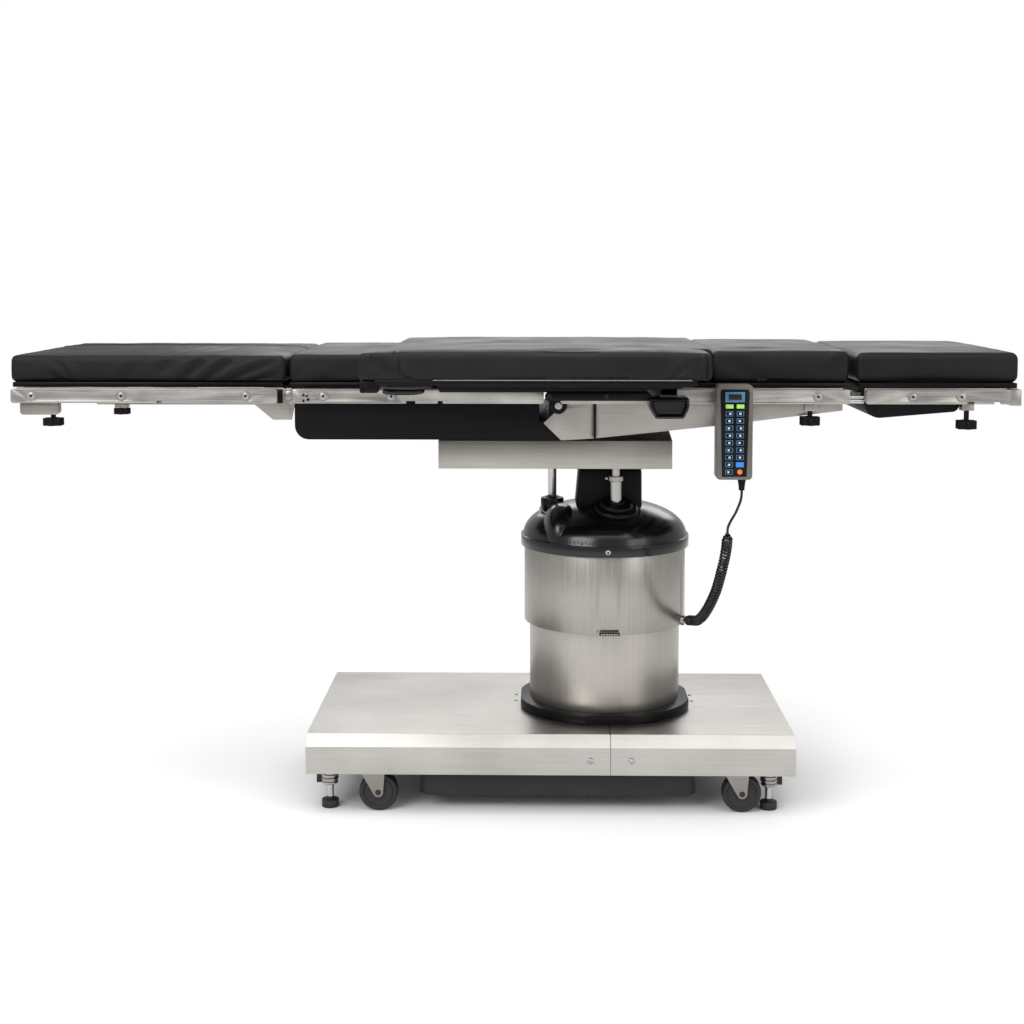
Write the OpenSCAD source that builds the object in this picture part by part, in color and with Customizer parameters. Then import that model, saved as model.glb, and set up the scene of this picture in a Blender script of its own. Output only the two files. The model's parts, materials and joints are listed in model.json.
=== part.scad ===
// Powered operating table: a stainless pedestal on casters carries a five-part padded top.
// Millimetres. +Z is up, +X points to the head end, -Y is the side with the arm board.

/* [Top] */
// Overall length of the padded top
table_l = 2000; // [1960:10:2060]
// Width of the pads
pad_w = 508; // [490:2:530]
// Height of the decks' upper face above the floor
deck_z = 880; // [872:2:900]
// Thickness of the decks
deck_t = 10; // [8:0.5:12]
// Length of the foot-end pad
leg_pad_l = 548; // [530:2:560]
// Length of the short seat pad
seat_pad_l = 190; // [180:2:200]
// Length of the long centre pad
centre_pad_l = 646; // [636:2:656]
// Length of the head pad
head_pad_l = 319; // [310:1:330]
// Thickness of the foot-end pad
leg_pad_t = 48; // [40:1:60]
// Thickness of the seat pad
seat_pad_t = 50; // [40:1:60]
// Thickness of the centre pad
centre_pad_t = 62; // [50:1:66]
// Thickness of the back pad
back_pad_t = 58; // [50:1:66]
// Thickness of the head pad
head_pad_t = 55; // [45:1:60]

/* [Side rails] */
// Height of the accessory rails
rail_h = 28.6; // [25:0.2:30]
// Thickness of the accessory rails
rail_t = 9.5; // [8:0.5:11]
// Clear gap behind the rails
rail_gap = 18; // [16:0.5:20]

/* [Pedestal] */
// Place of the column along the table
column_x = 195; // [185:1:205]
// Radius of the upper shroud
upper_r = 172.5; // [171:0.5:174]
// Radius of the lower shroud
lower_r = 161; // [158:0.5:162]
// Height of the upper shroud
upper_h = 163; // [160:1:168]
// Radius of the dome cover's rim
dome_r = 180; // [178:0.5:184]
// Height of the dome above its rim
dome_h = 80; // [76:1:82]
// Length of the saddle cover
saddle_l = 486; // [470:2:500]
// Width of the saddle cover
saddle_w = 230; // [226:2:240]

/* [Base] */
// Length of the base covers
base_l = 987; // [960:1:1010]
// Width of the base covers
base_w = 532; // [520:2:550]
// Height of the base covers' upper face above the floor
base_z = 166; // [162:1:170]
// Height of the base covers' lower edge above the floor
base_clear = 88; // [84:1:92]
// Radius of the casters
wheel_r = 40; // [36:0.5:41]
// Tread width of the casters
wheel_w = 30; // [24:1:32]

/* [Arm board] */
// Length of the arm board's pad
arm_l = 662; // [600:2:680]
// Width of the arm board's pad
arm_w = 136; // [120:1:150]
// Thickness of the arm board's pad
arm_pad_t = 46; // [35:1:60]

/* [Hand control] */
// Width of the hand control
pendant_w = 70; // [62:1:74]
// Height of the hand control
pendant_h = 185; // [170:1:190]
// Thickness of the hand control
pendant_t = 38; // [32:1:42]

/* [Hidden] */
$fn = 48;
round_fn = 96; // facets of the large round covers
small_fn = 32; // facets of small round corners
eps_cut = 2; // overrun of cutting tools
clear = 0.3; // gap between pieces that pass or rest near each other
run = 0.06; // radial clearance of a running pin

// Stations of the pads along the table
pad_seam = 1.5;
leg_gap = 10;
head_gap = 16;
leg_x0 = -table_l / 2;
leg_x1 = leg_x0 + leg_pad_l;
seat_x0 = leg_x1 + leg_gap;
seat_x1 = seat_x0 + seat_pad_l;
centre_x0 = seat_x1 + pad_seam;
centre_x1 = centre_x0 + centre_pad_l;
back_x0 = centre_x1 + pad_seam;
head_x1 = table_l / 2;
head_x0 = head_x1 - head_pad_l;
back_x1 = head_x0 - head_gap;

// Layers across the table, as distances from its centre plane
deck_margin = 2;
frame_gap = 3;
frame_t = 5;
tub_t = 6;
pad_y = pad_w / 2;
deck_y = pad_y + deck_margin;
frame_in_y = deck_y + frame_gap;
frame_out_y = frame_in_y + frame_t;
rail_in_y = frame_out_y + rail_gap;
rail_out_y = rail_in_y + rail_t;
tub_in_y = deck_y - tub_t;

// Heights of the top
rail_drop = 10.3;
deck_under = deck_z - deck_t;
rail_top = deck_z - rail_drop;
rail_low = rail_top - rail_h;
rail_mid = (rail_top + rail_low) / 2;
pad_z = deck_z + clear;
tub_h = 104;
tub_z = deck_under - tub_h;

// Hinge axes of the top
hinge_pin_r = 8;
hinge_eye_r = 15;
back_axis_run = 342;
back_axis_drop = 44.5;
head_axis_run = 3;
head_axis_drop = 29;
head_pin_r = 5;
flex_reach = 125;
leg_axis_x = seat_x0;
leg_axis_z = rail_mid;
back_axis_x = centre_x0 + back_axis_run;
back_axis_z = deck_z - back_axis_drop;
head_axis_x = head_x0 + head_axis_run;
head_axis_z = deck_z - head_axis_drop;

// The middle of the bounding box stands over the frame's origin
arm_gap = 8;
arm_in_y = rail_out_y + arm_gap;
arm_out_y = arm_in_y + arm_w;
frame_shift = (arm_out_y - rail_out_y) / 2;

// Pedestal
sheet_t = 2;
upper_z0 = 352;
upper_z1 = upper_z0 + upper_h;
dome_rim_h = 22;
dome_rise = 15;
dome_step = 4;
dome_wall = 3;
dome_power = 2.3;
dome_steps = 18;
dome_rim_z = upper_z1;
dome_z = upper_z1 + dome_rise;
dome_side_r = dome_r - dome_step;
dome_top = dome_z + dome_h;
pivot_z = 714;
saddle_z0 = 690;
saddle_eave = 749;
saddle_ridge = 762;
saddle_foot_run = 351; // from the column's axis to the saddle's foot end
saddle_x0 = column_x - saddle_foot_run;
saddle_x1 = saddle_x0 + saddle_l;
neck_l = 142;
neck_d = 104;
neck_brim = 3;
neck_brim_h = 8;
tilt_dx = 19.5;
tilt_y = -86;
tilt_rod_r = 11;
trend_dx = -113;
trend_rod_r = 9;

// Draws its children on the far side and, mirrored, on the near side
module both_sides() {
    children();
    mirror([0, 1, 0]) children();
}

// Extrudes an outline in X and Z across the table, from y0 outwards
module across(y0, t) {
    translate([0, y0 + t, 0]) rotate([90, 0, 0]) linear_extrude(t) children();
}

// Extrudes an outline in Y and Z along the table
module along(x0, l) {
    translate([x0, 0, 0]) rotate([90, 0, 90]) linear_extrude(l) children();
}

// A cylinder across the table, from y0 to y1
module pin_across(x, z, r, y0, y1) {
    translate([x, y1, z]) rotate([90, 0, 0]) cylinder(r = r, h = y1 - y0);
}

// A box given by its lowest and highest corners
module block(low, high) {
    translate(low) cube(high - low);
}

// An upright cylinder between two heights
module post(r, z0, z1) {
    translate([0, 0, z0]) cylinder(r = r, h = z1 - z0);
}

// A rectangle with round corners
module soft_square(low, high, r) {
    size = high - low;
    translate(low) {
        translate([r, 0]) square([size[0] - 2 * r, size[1]]);
        translate([0, r]) square([size[0], size[1] - 2 * r]);
        for (x = [r, size[0] - r], y = [r, size[1] - r]) translate([x, y]) circle(r);
    }
}

// Covers of the base and what stands inside them
cover_head_run = 375; // from the column's axis to the covers' head end
cover_split_run = 3;
cover_bevel = 22;
seam_bevel = 1.5;
column_hole_r = 120;
chassis_t = 16;
chassis_rise = 4;
collar_h = 20;
collar_r = 185;
collar_half_w = 180;
screw_r = 4;
screw_h = 2;
screw_rise = 29;
screw_runs = [-40, 43]; // from the seam to the screws of the foot and head covers
base_x1 = column_x + cover_head_run;
base_x0 = base_x1 - base_l;
base_split = column_x + cover_split_run;
chassis_z = base_clear + chassis_rise;
chassis_top = chassis_z + chassis_t;

module cover_form(x0, x1, foot_bevel, head_bevel, inset) {
    half = base_w / 2 - inset;
    top = base_z - inset;
    low = base_clear - (inset > 0 ? eps_cut : 0);
    intersection() {
        along(x0, x1 - x0) polygon([[-half, low], [half, low], [half, top - cover_bevel],
            [half - cover_bevel, top], [-half + cover_bevel, top], [-half, top - cover_bevel]]);
        across(-half, 2 * half) polygon([[x0, low], [x1, low], [x1, top - head_bevel],
            [x1 - head_bevel, top], [x0 + foot_bevel, top], [x0, top - foot_bevel]]);
    }
}

module column_hole() {
    translate([column_x, 0, 0]) post(column_hole_r, base_clear, base_z + eps_cut);
}

// A dome-headed screw on each long side, near the seam
module cover_screws(x) {
    both_sides() pin_across(x, base_clear + screw_rise, screw_r,
        base_w / 2 - sheet_t / 2, base_w / 2 + screw_h);
}

module base_cover_foot() {
    color("silver") {
        difference() {
            cover_form(base_x0, base_split, cover_bevel, seam_bevel, 0);
            cover_form(base_x0 + sheet_t, base_split + eps_cut, cover_bevel, seam_bevel, sheet_t);
            column_hole();
        }
        cover_screws(base_split + screw_runs[0]);
    }
}

module base_cover_head() {
    color("silver") {
        difference() {
            cover_form(base_split + clear, base_x1, seam_bevel, cover_bevel, 0);
            cover_form(base_split - eps_cut, base_x1 - sheet_t, seam_bevel, cover_bevel, sheet_t);
            column_hole();
        }
        cover_screws(base_split + screw_runs[1]);
    }
}

// Chassis plate inside the covers, with a socket for each caster's stem
module base_frame() {
    half = base_w / 2 - sheet_t - clear;
    color("dimgray") difference() {
        block([base_x0 + sheet_t + clear, -half, chassis_z],
            [base_x1 - sheet_t - clear, half, chassis_top]);
        for (place = caster_places)
            translate(place) post(caster_stem_r + run, chassis_z - eps_cut, chassis_z + chassis_t / 2);
    }
}

module column_collar() {
    color("#151515") translate([column_x, 0, base_z]) difference() {
        linear_extrude(collar_h) intersection() {
            circle(collar_r, $fn = round_fn);
            square(2 * collar_half_w, center = true);
        }
        post(column_hole_r, -eps_cut, collar_h + eps_cut);
    }
}

// Telescope inside the shrouds
tube_r = 74;
tube_floor = 2;
tube_top = 425;
mast_r = 62;
mast_low = 262;
flange_r = 66;
flange_h = 30;

module column_tube() {
    color("gray") translate([column_x, 0, 0]) difference() {
        post(tube_r, chassis_top, tube_top);
        post(mast_r + run, chassis_top + tube_floor, tube_top + eps_cut);
    }
}

// Shrouds: three sleeves that slide over one another
lower_top = 421;
middle_t = 1.6;
middle_rise = 1;
middle_h = 132;
lip_h = 3;
notch_w = 45;
notch_h = 12;

module ring(r_out, r_in, z0, h) {
    translate([column_x, 0, z0]) difference() {
        cylinder(r = r_out, h = h, $fn = round_fn);
        translate([0, 0, -eps_cut]) cylinder(r = r_in, h = h + 2 * eps_cut, $fn = round_fn);
    }
}

module lower_shroud() {
    z0 = base_z + collar_h;
    color("silver") ring(lower_r, lower_r - sheet_t, z0, lower_top - z0);
}

module middle_shroud() {
    color("silver") ring(lower_r + clear + middle_t, lower_r + clear, upper_z0 + middle_rise, middle_h);
}

// Upper shroud with an inward lip at its lower edge, a front notch and a cable gland
module upper_shroud() {
    lip_r = lower_r + middle_t + 2 * clear;
    color("silver") {
        difference() {
            union() {
                ring(upper_r, upper_r - sheet_t, upper_z0, upper_h);
                ring(upper_r - sheet_t / 2, lip_r, upper_z0, lip_h);
            }
            block([column_x - notch_w / 2, -upper_r - eps_cut, upper_z0 - eps_cut],
                [column_x + notch_w / 2, -lip_r / 2, upper_z0 + notch_h]);
        }
        translate([column_x, 0, gland_z]) rotate([0, 0, gland_turn]) rotate([0, 90, 0])
            post(gland_r, upper_r - sheet_t / 2, upper_r + gland_l);
    }
}

// Casters: a fork with two triangular cheeks, and a wheel on an axle through them
caster_foot_run = 131;
caster_head_run = 115;
caster_side_gap = 50;
caster_trail = 12;
caster_stem_r = 9;
fork_t = 3;
fork_gap = 1;
fork_crown_half = 26;
fork_crown_h = 6;
fork_end_r = 10;
axle_r = 6;
hub_r = 14;
caster_x0 = base_x0 + caster_foot_run;
caster_x1 = base_x1 - caster_head_run;
caster_y = base_w / 2 - caster_side_gap;
caster_places = [for (x = [caster_x0, caster_x1], y = [-caster_y, caster_y]) [x, y, 0]];
fork_half = wheel_w / 2 + fork_gap;

module caster_fork(place) {
    top = chassis_z - clear;
    crown = [fork_crown_half, fork_half + fork_t];
    color("silver") translate(place) {
        post(caster_stem_r, top, chassis_z + chassis_t / 2 - clear);
        block([-crown[0], -crown[1], top - fork_crown_h], [crown[0], crown[1], top]);
        both_sides() across(fork_half, fork_t) difference() {
            hull() {
                translate([-fork_crown_half, top - fork_crown_h])
                    square([2 * fork_crown_half, fork_crown_h]);
                translate([caster_trail, wheel_r]) circle(fork_end_r, $fn = small_fn);
            }
            translate([caster_trail, wheel_r]) circle(axle_r + run);
        }
    }
}

// Half section of the wheel: hub, recessed web and round tread, as shares of radius and half width
tread_shares = [[0.72, 0.72], [0.78, 1], [0.9, 1], [1, 0.6]];
web_share = 0.72;

module caster_wheel(place) {
    half = wheel_w / 2;
    rim = [for (s = tread_shares) [wheel_r * s[0], half * s[1]]];
    section = concat([[0, half], [hub_r, half], [hub_r, half * web_share]], rim);
    back = [for (i = [len(section) - 1 : -1 : 0]) [section[i][0], -section[i][1]]];
    color("#1b1b1b") translate(place + [caster_trail, 0, wheel_r]) {
        rotate([90, 0, 0]) rotate_extrude($fn = round_fn) polygon(concat(section, back));
        pin_across(0, 0, axle_r, -fork_half - fork_t, fork_half + fork_t);
    }
}

// Battery box under the chassis, between the casters' circles
box_low = 31;
box_foot_gap = 43;
box_head_gap = 28;
box_side_gap = 40;
box_corner = 26;
box_x0 = caster_x0 + caster_trail + wheel_r + box_foot_gap;
box_x1 = caster_x1 - caster_trail - wheel_r - box_head_gap;
box_half = base_w / 2 - box_side_gap;

module battery_box() {
    color("#3a3a3c") translate([0, 0, box_low]) linear_extrude(chassis_z - box_low)
        soft_square([box_x0, -box_half], [box_x1, box_half], box_corner);
}

// Floor locks near the corners of the base
lock_foot_run = 41;
lock_head_run = 45;
lock_side_gap = 66;
lock_stem_r = 6.5;
lock_stem_play = 8;
lock_r = 17;
lock_z = 58;
lock_bracket_in = 12;
lock_bracket_out = 30;
lock_bracket_z = 45;
lock_bracket_t = 4;
lock_plate_t = 6;
foot_r = 17.5;
foot_h = 16;
foot_lift = 14;
lock_x0 = base_x0 + lock_foot_run;
lock_x1 = base_x1 - lock_head_run;
lock_y = base_w / 2 - lock_side_gap;
lock_places = [for (x = [lock_x0, lock_x1], y = [-lock_y, lock_y]) [x, y, 0]];

// Turns a lock's bracket outwards along the table and inwards across it
module turn_outwards(place) {
    mirror([place[0] < column_x ? 1 : 0, 0, 0]) mirror([0, place[1] < 0 ? 1 : 0, 0]) children();
}

// Guide sleeves of the floor locks, each with a bracket beside it
module lock_housings() {
    color("dimgray") for (place = lock_places) translate(place) turn_outwards(place) difference() {
        union() {
            post(lock_r, lock_z, chassis_z);
            block([-lock_bracket_in, -lock_r, chassis_z - lock_plate_t],
                [lock_bracket_out, lock_r, chassis_z]);
            block([-lock_bracket_in, -lock_r, lock_bracket_z],
                [lock_bracket_out, -lock_r + lock_bracket_t, chassis_z]);
        }
        post(lock_stem_r + run, lock_z - eps_cut, chassis_z - lock_plate_t);
    }
}

// Stems and rubber feet of the floor locks, lowered onto the floor
module lock_feet() {
    color("#1b1b1b") for (place = lock_places) translate(place) {
        post(foot_r, 0, foot_h);
        post(lock_stem_r, foot_h, chassis_z - foot_lift - lock_stem_play);
    }
}

// Dome on top of the column, drawn as part of a superellipse
function dome_height(r, r0, h) = dome_z + h * pow(1 - pow(r / r0, dome_power), 1 / dome_power);
function dome_point(r0, h, turn) = [r0 * pow(cos(turn), 2 / dome_power),
    dome_z + h * pow(sin(turn), 2 / dome_power)];
function dome_line(r0, h) = [for (i = [1 : dome_steps - 1]) dome_point(r0, h, 90 * i / dome_steps)];

module dome_solid() {
    rim_top = dome_rim_z + dome_rim_h;
    rotate_extrude($fn = round_fn) polygon(concat([[0, dome_rim_z], [dome_r, dome_rim_z],
        [dome_r, rim_top], [dome_side_r, rim_top]],
        [for (p = dome_line(dome_side_r, dome_h)) if (p[1] > rim_top) p], [[0, dome_top]]));
}

module dome_hollow() {
    r0 = dome_side_r - dome_wall;
    rotate_extrude($fn = round_fn) polygon(concat([[0, dome_rim_z - eps_cut],
        [upper_r - sheet_t, dome_rim_z - eps_cut], [upper_r - sheet_t, dome_rim_z], [r0, dome_z]],
        dome_line(r0, dome_h - dome_wall), [[0, dome_top - dome_wall]]));
}

// Post of the lift inside the neck cover
post_l = 116;
post_d = 88;
post_play = 2;
rod_play = 3;
neck_z0 = 596;
neck_z1 = 687;

module rod_places(play) {
    translate([trend_dx, 0, 0]) cylinder(r = trend_rod_r + play, h = saddle_z0);
    translate([tilt_dx, tilt_y, 0]) cylinder(r = tilt_rod_r + play, h = saddle_z0);
}

module dome_cover() {
    reach = [post_l / 2 + post_play, post_d / 2 + post_play];
    color("#101010") translate([column_x, 0, 0]) {
        difference() {
            dome_solid();
            dome_hollow();
            block([-reach[0], -reach[1], dome_z], [reach[0], reach[1], dome_top]);
            rod_places(rod_play);
        }
        pin_across(0, dome_rim_z + dome_rim_h / 2, screw_r, -dome_r - screw_h, -dome_side_r);
    }
}

module neck_cover() {
    wide = [neck_l / 2, neck_d / 2];
    brim = [wide[0] + neck_brim, wide[1] + neck_brim];
    inner = [wide[0] - sheet_t, wide[1] - sheet_t];
    color("#151515") translate([column_x, 0, 0]) difference() {
        union() {
            block([-wide[0], -wide[1], neck_z0], [wide[0], wide[1], neck_z1]);
            block([-brim[0], -brim[1], neck_z1 - neck_brim_h], [brim[0], brim[1], neck_z1]);
        }
        block([-inner[0], -inner[1], neck_z0 - eps_cut], [inner[0], inner[1], neck_z1 + eps_cut]);
        dome_solid();
    }
}

// Gimbal at the head of the column
gimbal_pin_r = 9;
gimbal_eye_r = 14;
hub_x = 31.7;
hub_y = 23.7;
hub_z = 15;
mast_lug_y = 24;
mast_lug_t = 12;
seat_lug_x = 32;
seat_lug_t = 14;
seat_eye_r = 16;
post_top = 650;
post_sink = 20;

module lift_mast() {
    flange_z = dome_height(flange_r, dome_side_r - dome_wall, dome_h - dome_wall) - clear;
    lug_y1 = mast_lug_y + mast_lug_t;
    color("gray") translate([column_x, 0, 0]) {
        post(mast_r, mast_low, flange_z - flange_h);
        post(flange_r, flange_z - flange_h, flange_z);
        block([-post_l / 2, -post_d / 2, flange_z - post_sink], [post_l / 2, post_d / 2, post_top]);
        both_sides() difference() {
            union() {
                block([-gimbal_eye_r, mast_lug_y, post_top], [gimbal_eye_r, lug_y1, pivot_z]);
                pin_across(0, pivot_z, gimbal_eye_r, mast_lug_y, lug_y1);
            }
            pin_across(0, pivot_z, gimbal_pin_r + run, mast_lug_y - eps_cut, lug_y1 + eps_cut);
        }
    }
}

module gimbal_cross() {
    reach_y = mast_lug_y + mast_lug_t;
    reach_x = seat_lug_x + seat_lug_t;
    color("gray") translate([column_x, 0, pivot_z]) {
        block([-hub_x, -hub_y, -hub_z], [hub_x, hub_y, hub_z]);
        pin_across(0, 0, gimbal_pin_r, -reach_y, reach_y);
        rotate([0, 90, 0]) post(gimbal_pin_r, -reach_x, reach_x);
    }
}

// Rubber boots around the two tilt rods, stepped and standing on the dome
trend_boot_r = 26;
trend_boot_z = 617;
trend_base_r = 40;
trend_base_z = 588;
trend_cone_h = 14;
tilt_boot_steps = [[33, 621], [45, 611], [54, 601]]; // radius and height of each step's top

module rod_boots() {
    color("#1a1a1a") translate([column_x, 0, 0]) difference() {
        union() {
            translate([trend_dx, 0, 0]) {
                post(trend_boot_r, dome_z, trend_boot_z);
                post(trend_base_r, dome_z, trend_base_z);
                translate([0, 0, trend_base_z])
                    cylinder(r1 = trend_base_r, r2 = trend_boot_r, h = trend_cone_h);
            }
            for (step = tilt_boot_steps)
                translate([tilt_dx, tilt_y, 0]) post(step[0], dome_z, step[1]);
        }
        dome_solid();
        rod_places(run);
        block([-neck_l / 2 - neck_brim - clear, -neck_d / 2 - neck_brim - clear, dome_z],
            [neck_l / 2, neck_d / 2, saddle_z0]);
    }
}

rod_low = 520;
trend_rod_z = 695;
trend_head_h = 14;
tilt_rod_z = 664;
tilt_head_h = 13;
tilt_tip_r = 8;
tilt_tip_z = 707;
rod_head_step = 3;

module trend_rod() {
    color("silver") translate([column_x + trend_dx, 0, 0]) {
        post(trend_rod_r, rod_low, trend_rod_z);
        post(trend_rod_r + rod_head_step, trend_rod_z, trend_rod_z + trend_head_h);
    }
}

module tilt_rod() {
    color("silver") translate([column_x + tilt_dx, tilt_y, 0]) {
        post(tilt_rod_r, rod_low, tilt_rod_z);
        post(tilt_rod_r + rod_head_step, tilt_rod_z, tilt_rod_z + tilt_head_h);
        post(tilt_tip_r, tilt_rod_z, tilt_tip_z);
    }
}

// Saddle under the seat
saddle_ridge_half = 26;
seat_block_half = 22;
seat_block_foot = 10;
seat_plate_z = 741;
seat_plate_t = 5;

module saddle_form(inset) {
    half = saddle_w / 2 - inset;
    low = saddle_z0 - (inset > 0 ? eps_cut : 0);
    along(saddle_x0 + inset, saddle_l - 2 * inset) polygon([[-half, low], [half, low],
        [half, saddle_eave - inset], [saddle_ridge_half, saddle_ridge - inset],
        [-saddle_ridge_half, saddle_ridge - inset], [-half, saddle_eave - inset]]);
}

module seat_block(extra) {
    low = seat_plate_z + seat_plate_t - extra;
    half = seat_block_half + extra;
    block([saddle_x0 + seat_block_foot - extra, -half, low],
        [tub_x1 - seat_block_foot + extra, half, tub_z]);
}

module saddle_cover() {
    color("silver") difference() {
        saddle_form(0);
        saddle_form(sheet_t);
        seat_block(clear);
    }
}

// Plate and block that carry the seat, with two lugs on the gimbal
module seat_frame() {
    half = saddle_w / 2 - sheet_t - clear;
    color("gray") {
        block([saddle_x0 + sheet_t + clear, -half, seat_plate_z],
            [saddle_x1 - sheet_t - clear, half, seat_plate_z + seat_plate_t]);
        seat_block(0);
        for (side = [-1, 1]) translate([column_x + side * (seat_lug_x + seat_lug_t / 2), 0, 0]) seat_lug();
    }
}

module seat_lug() {
    half = seat_lug_t / 2;
    difference() {
        union() {
            block([-half, -seat_eye_r, pivot_z], [half, seat_eye_r, seat_plate_z]);
            translate([0, 0, pivot_z]) rotate([0, 90, 0]) post(seat_eye_r, -half, half);
        }
        translate([0, 0, pivot_z]) rotate([0, 90, 0])
            post(gimbal_pin_r + run, -half - eps_cut, half + eps_cut);
    }
}

// Black seat tub: a closed box under the seat deck, with hinge ears at both ends
tub_foot_gap = 9;
tub_head_gap = 38;
tub_nose = 47;
tub_nose_h = 36;
tub_corner = 28;
back_ear_r = 19;
back_ear_run = 9;
leg_ear_r = 13;
pin_reach = 4;
tub_x0 = seat_x0 + tub_foot_gap;
tub_x1 = back_axis_x - tub_head_gap;

module tub_outline() {
    difference() {
        translate([tub_x0, tub_z]) square([tub_x1 - tub_x0, deck_under - tub_z]);
        translate([tub_x0, tub_z]) difference() {
            square(tub_corner);
            translate([tub_corner, tub_corner]) circle(tub_corner);
        }
    }
    translate([tub_x1 - eps_cut, tub_z]) square([tub_nose + eps_cut, tub_nose_h]);
}

module hinge_pins(x, z) {
    both_sides() pin_across(x, z, hinge_pin_r, tub_in_y, frame_out_y + pin_reach);
}

module tub_ears() {
    translate([back_axis_x, back_axis_z]) circle(back_ear_r);
    translate([back_axis_x - back_ear_r, tub_z])
        square([back_ear_r + back_ear_run, back_axis_z - tub_z]);
    translate([leg_axis_x, leg_axis_z]) circle(leg_ear_r);
    translate([leg_axis_x, leg_axis_z - leg_ear_r]) square([tub_x0 - leg_axis_x + eps_cut, 2 * leg_ear_r]);
}

module seat_tub() {
    color("#151515") {
        across(-deck_y, 2 * deck_y) tub_outline();
        both_sides() across(tub_in_y, tub_t) tub_ears();
        hinge_pins(back_axis_x, back_axis_z);
        hinge_pins(leg_axis_x, leg_axis_z);
    }
}

// Side rails: a bar on each side, held off the frame by a spacer behind each bolt
bolt_r = 10;
bolt_groove = 1;
socket_r = 4;
rail_end_r = 5;
notch_half = 5;
notch_rise = 5;
spacer_r = 9;

module bolt_face(x) {
    difference() {
        pin_across(x, rail_mid, bolt_r, rail_out_y - bolt_groove, rail_out_y + eps_cut);
        pin_across(x, rail_mid, bolt_r - bolt_groove, rail_out_y - 2 * bolt_groove, rail_out_y + 2 * eps_cut);
    }
    translate([x, rail_out_y + eps_cut, rail_mid]) rotate([90, 0, 0])
        cylinder(r = socket_r, h = rail_t / 2 + eps_cut, $fn = 6);
}

// Notches in the lower edge are given as centre and half width
module rail_bar(x0, x1, bolts, notches) {
    both_sides() difference() {
        across(rail_in_y, rail_t) soft_square([x0, rail_low], [x1, rail_top], rail_end_r, $fn = small_fn);
        for (x = bolts) bolt_face(x);
        for (n = notches) block([n[0] - n[1], rail_in_y - eps_cut, rail_low - eps_cut],
            [n[0] + n[1], rail_out_y + eps_cut, rail_low + notch_rise]);
    }
}

module rail_spacers(places, from_y) {
    for (x = places) both_sides() pin_across(x, rail_mid, spacer_r, from_y, rail_in_y);
}

// Places along the rails, each from an end of its section
seat_bolt_runs = [71, 205];
seat_rail_foot = 10;
seat_rail_head = 29;
seat_rail_notches = [[243, 9], [301, 5]];
seat_end_spacer = 24;
latch_runs = [24, 33];
latch_half = 2.5;
latch_rise = 6;
latch_deep = 3;
leg_bolt_runs = [52, 230];
leg_bolt_head = 72;
leg_rail_foot = 11;
leg_rail_head = 20;
leg_rail_notch = 305;
back_bolt_head = 66;
back_rail_foot = 4;
back_rail_head = 4;
back_spacer_runs = [40, 310.5];
head_bolt_runs = [102, 197];
head_rail_foot = 12;
head_rail_head = 6;
head_rail_notches = [[215, 7], [268, 7]];
head_end_spacer = 30;
seat_bolts = [for (run_x = seat_bolt_runs) seat_x0 + run_x];
leg_bolts = [leg_x0 + leg_bolt_runs[0], leg_x0 + leg_bolt_runs[1], leg_x1 - leg_bolt_head];
back_bolts = [back_x1 - back_bolt_head];
head_bolts = [for (run_x = head_bolt_runs) head_x0 + run_x];

// Square latch holes in pairs at the foot end of the seat rails
module latch_holes() {
    for (run_x = latch_runs, z = [-latch_rise, latch_rise])
        translate([seat_x0 + seat_rail_foot + run_x, 0, rail_mid + z])
            block([-latch_half, rail_out_y - latch_deep, -latch_half],
                [latch_half, rail_out_y + eps_cut, latch_half]);
}

module seat_rails() {
    color("silver") {
        difference() {
            rail_bar(seat_x0 + seat_rail_foot, back_axis_x - seat_rail_head, seat_bolts,
                [for (n = seat_rail_notches) [seat_x0 + n[0], n[1]]]);
            both_sides() latch_holes();
        }
        rail_spacers(concat(seat_bolts, [tub_x1 - seat_end_spacer]), deck_y);
    }
}

module deck_plate(x0, x1) {
    block([x0, -deck_y, deck_under], [x1, deck_y, deck_z]);
}

module seat_deck() {
    color("#1a1a1a") deck_plate(seat_x0, tub_x1);
}

// Pads, each a plain block with round edges along its upper corners
pad_edge = 10;

module pad_block(x0, x1, t) {
    color("#222224") along(x0, x1 - x0) soft_square([-pad_y, pad_z], [pad_y, pad_z + t], pad_edge);
}

module seat_pad() {
    pad_block(seat_x0, seat_x1, seat_pad_t);
}

module centre_pad_seat() {
    pad_block(centre_x0, back_axis_x - flex_reach, centre_pad_t);
}

module centre_pad_flex() {
    pad_block(back_axis_x - flex_reach, back_axis_x + flex_reach, centre_pad_t);
}

module centre_pad_back() {
    pad_block(back_axis_x + flex_reach, centre_x1, centre_pad_t);
}

// Clamping knobs on the near side: a lobed grip on a stem that screws into a boss
knob_y = -(frame_in_y + frame_out_y) / 2;
knob_stem_r = 5;
knob_lobes = 6;
knob_r = 20.5;
knob_h = 17;
small_knob_r = 16.5;
small_knob_h = 12;
boss_half = 12;
lobe_place_share = 1.22;
lobe_cut_share = 0.42;

module knob_boss(x, z0, z1) {
    block([x - boss_half, knob_y - boss_half, z0], [x + boss_half, knob_y + boss_half, z1]);
}

module knob_bore(x, z0, z1) {
    translate([x, knob_y, 0]) post(knob_stem_r + run, z0 - eps_cut, z1);
}

module clamp_knob(x, z, r, h, stem_top) {
    color("#151515") translate([x, knob_y, 0]) {
        difference() {
            post(r, z, z + h);
            for (i = [0 : knob_lobes - 1]) rotate([0, 0, 360 * i / knob_lobes])
                translate([r * lobe_place_share, 0, 0])
                    post(r * lobe_cut_share, z - eps_cut, z + h + eps_cut);
        }
        post(knob_stem_r, z, stem_top);
    }
}

// Cross bars and posts of the back and head sections
cross_bar_w = 26;
cross_bar_h = 22;
post_y = 200;
post_r = 7;
post_root = 30;
post_eye_r = 11;
post_eye_w = 16;

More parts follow.
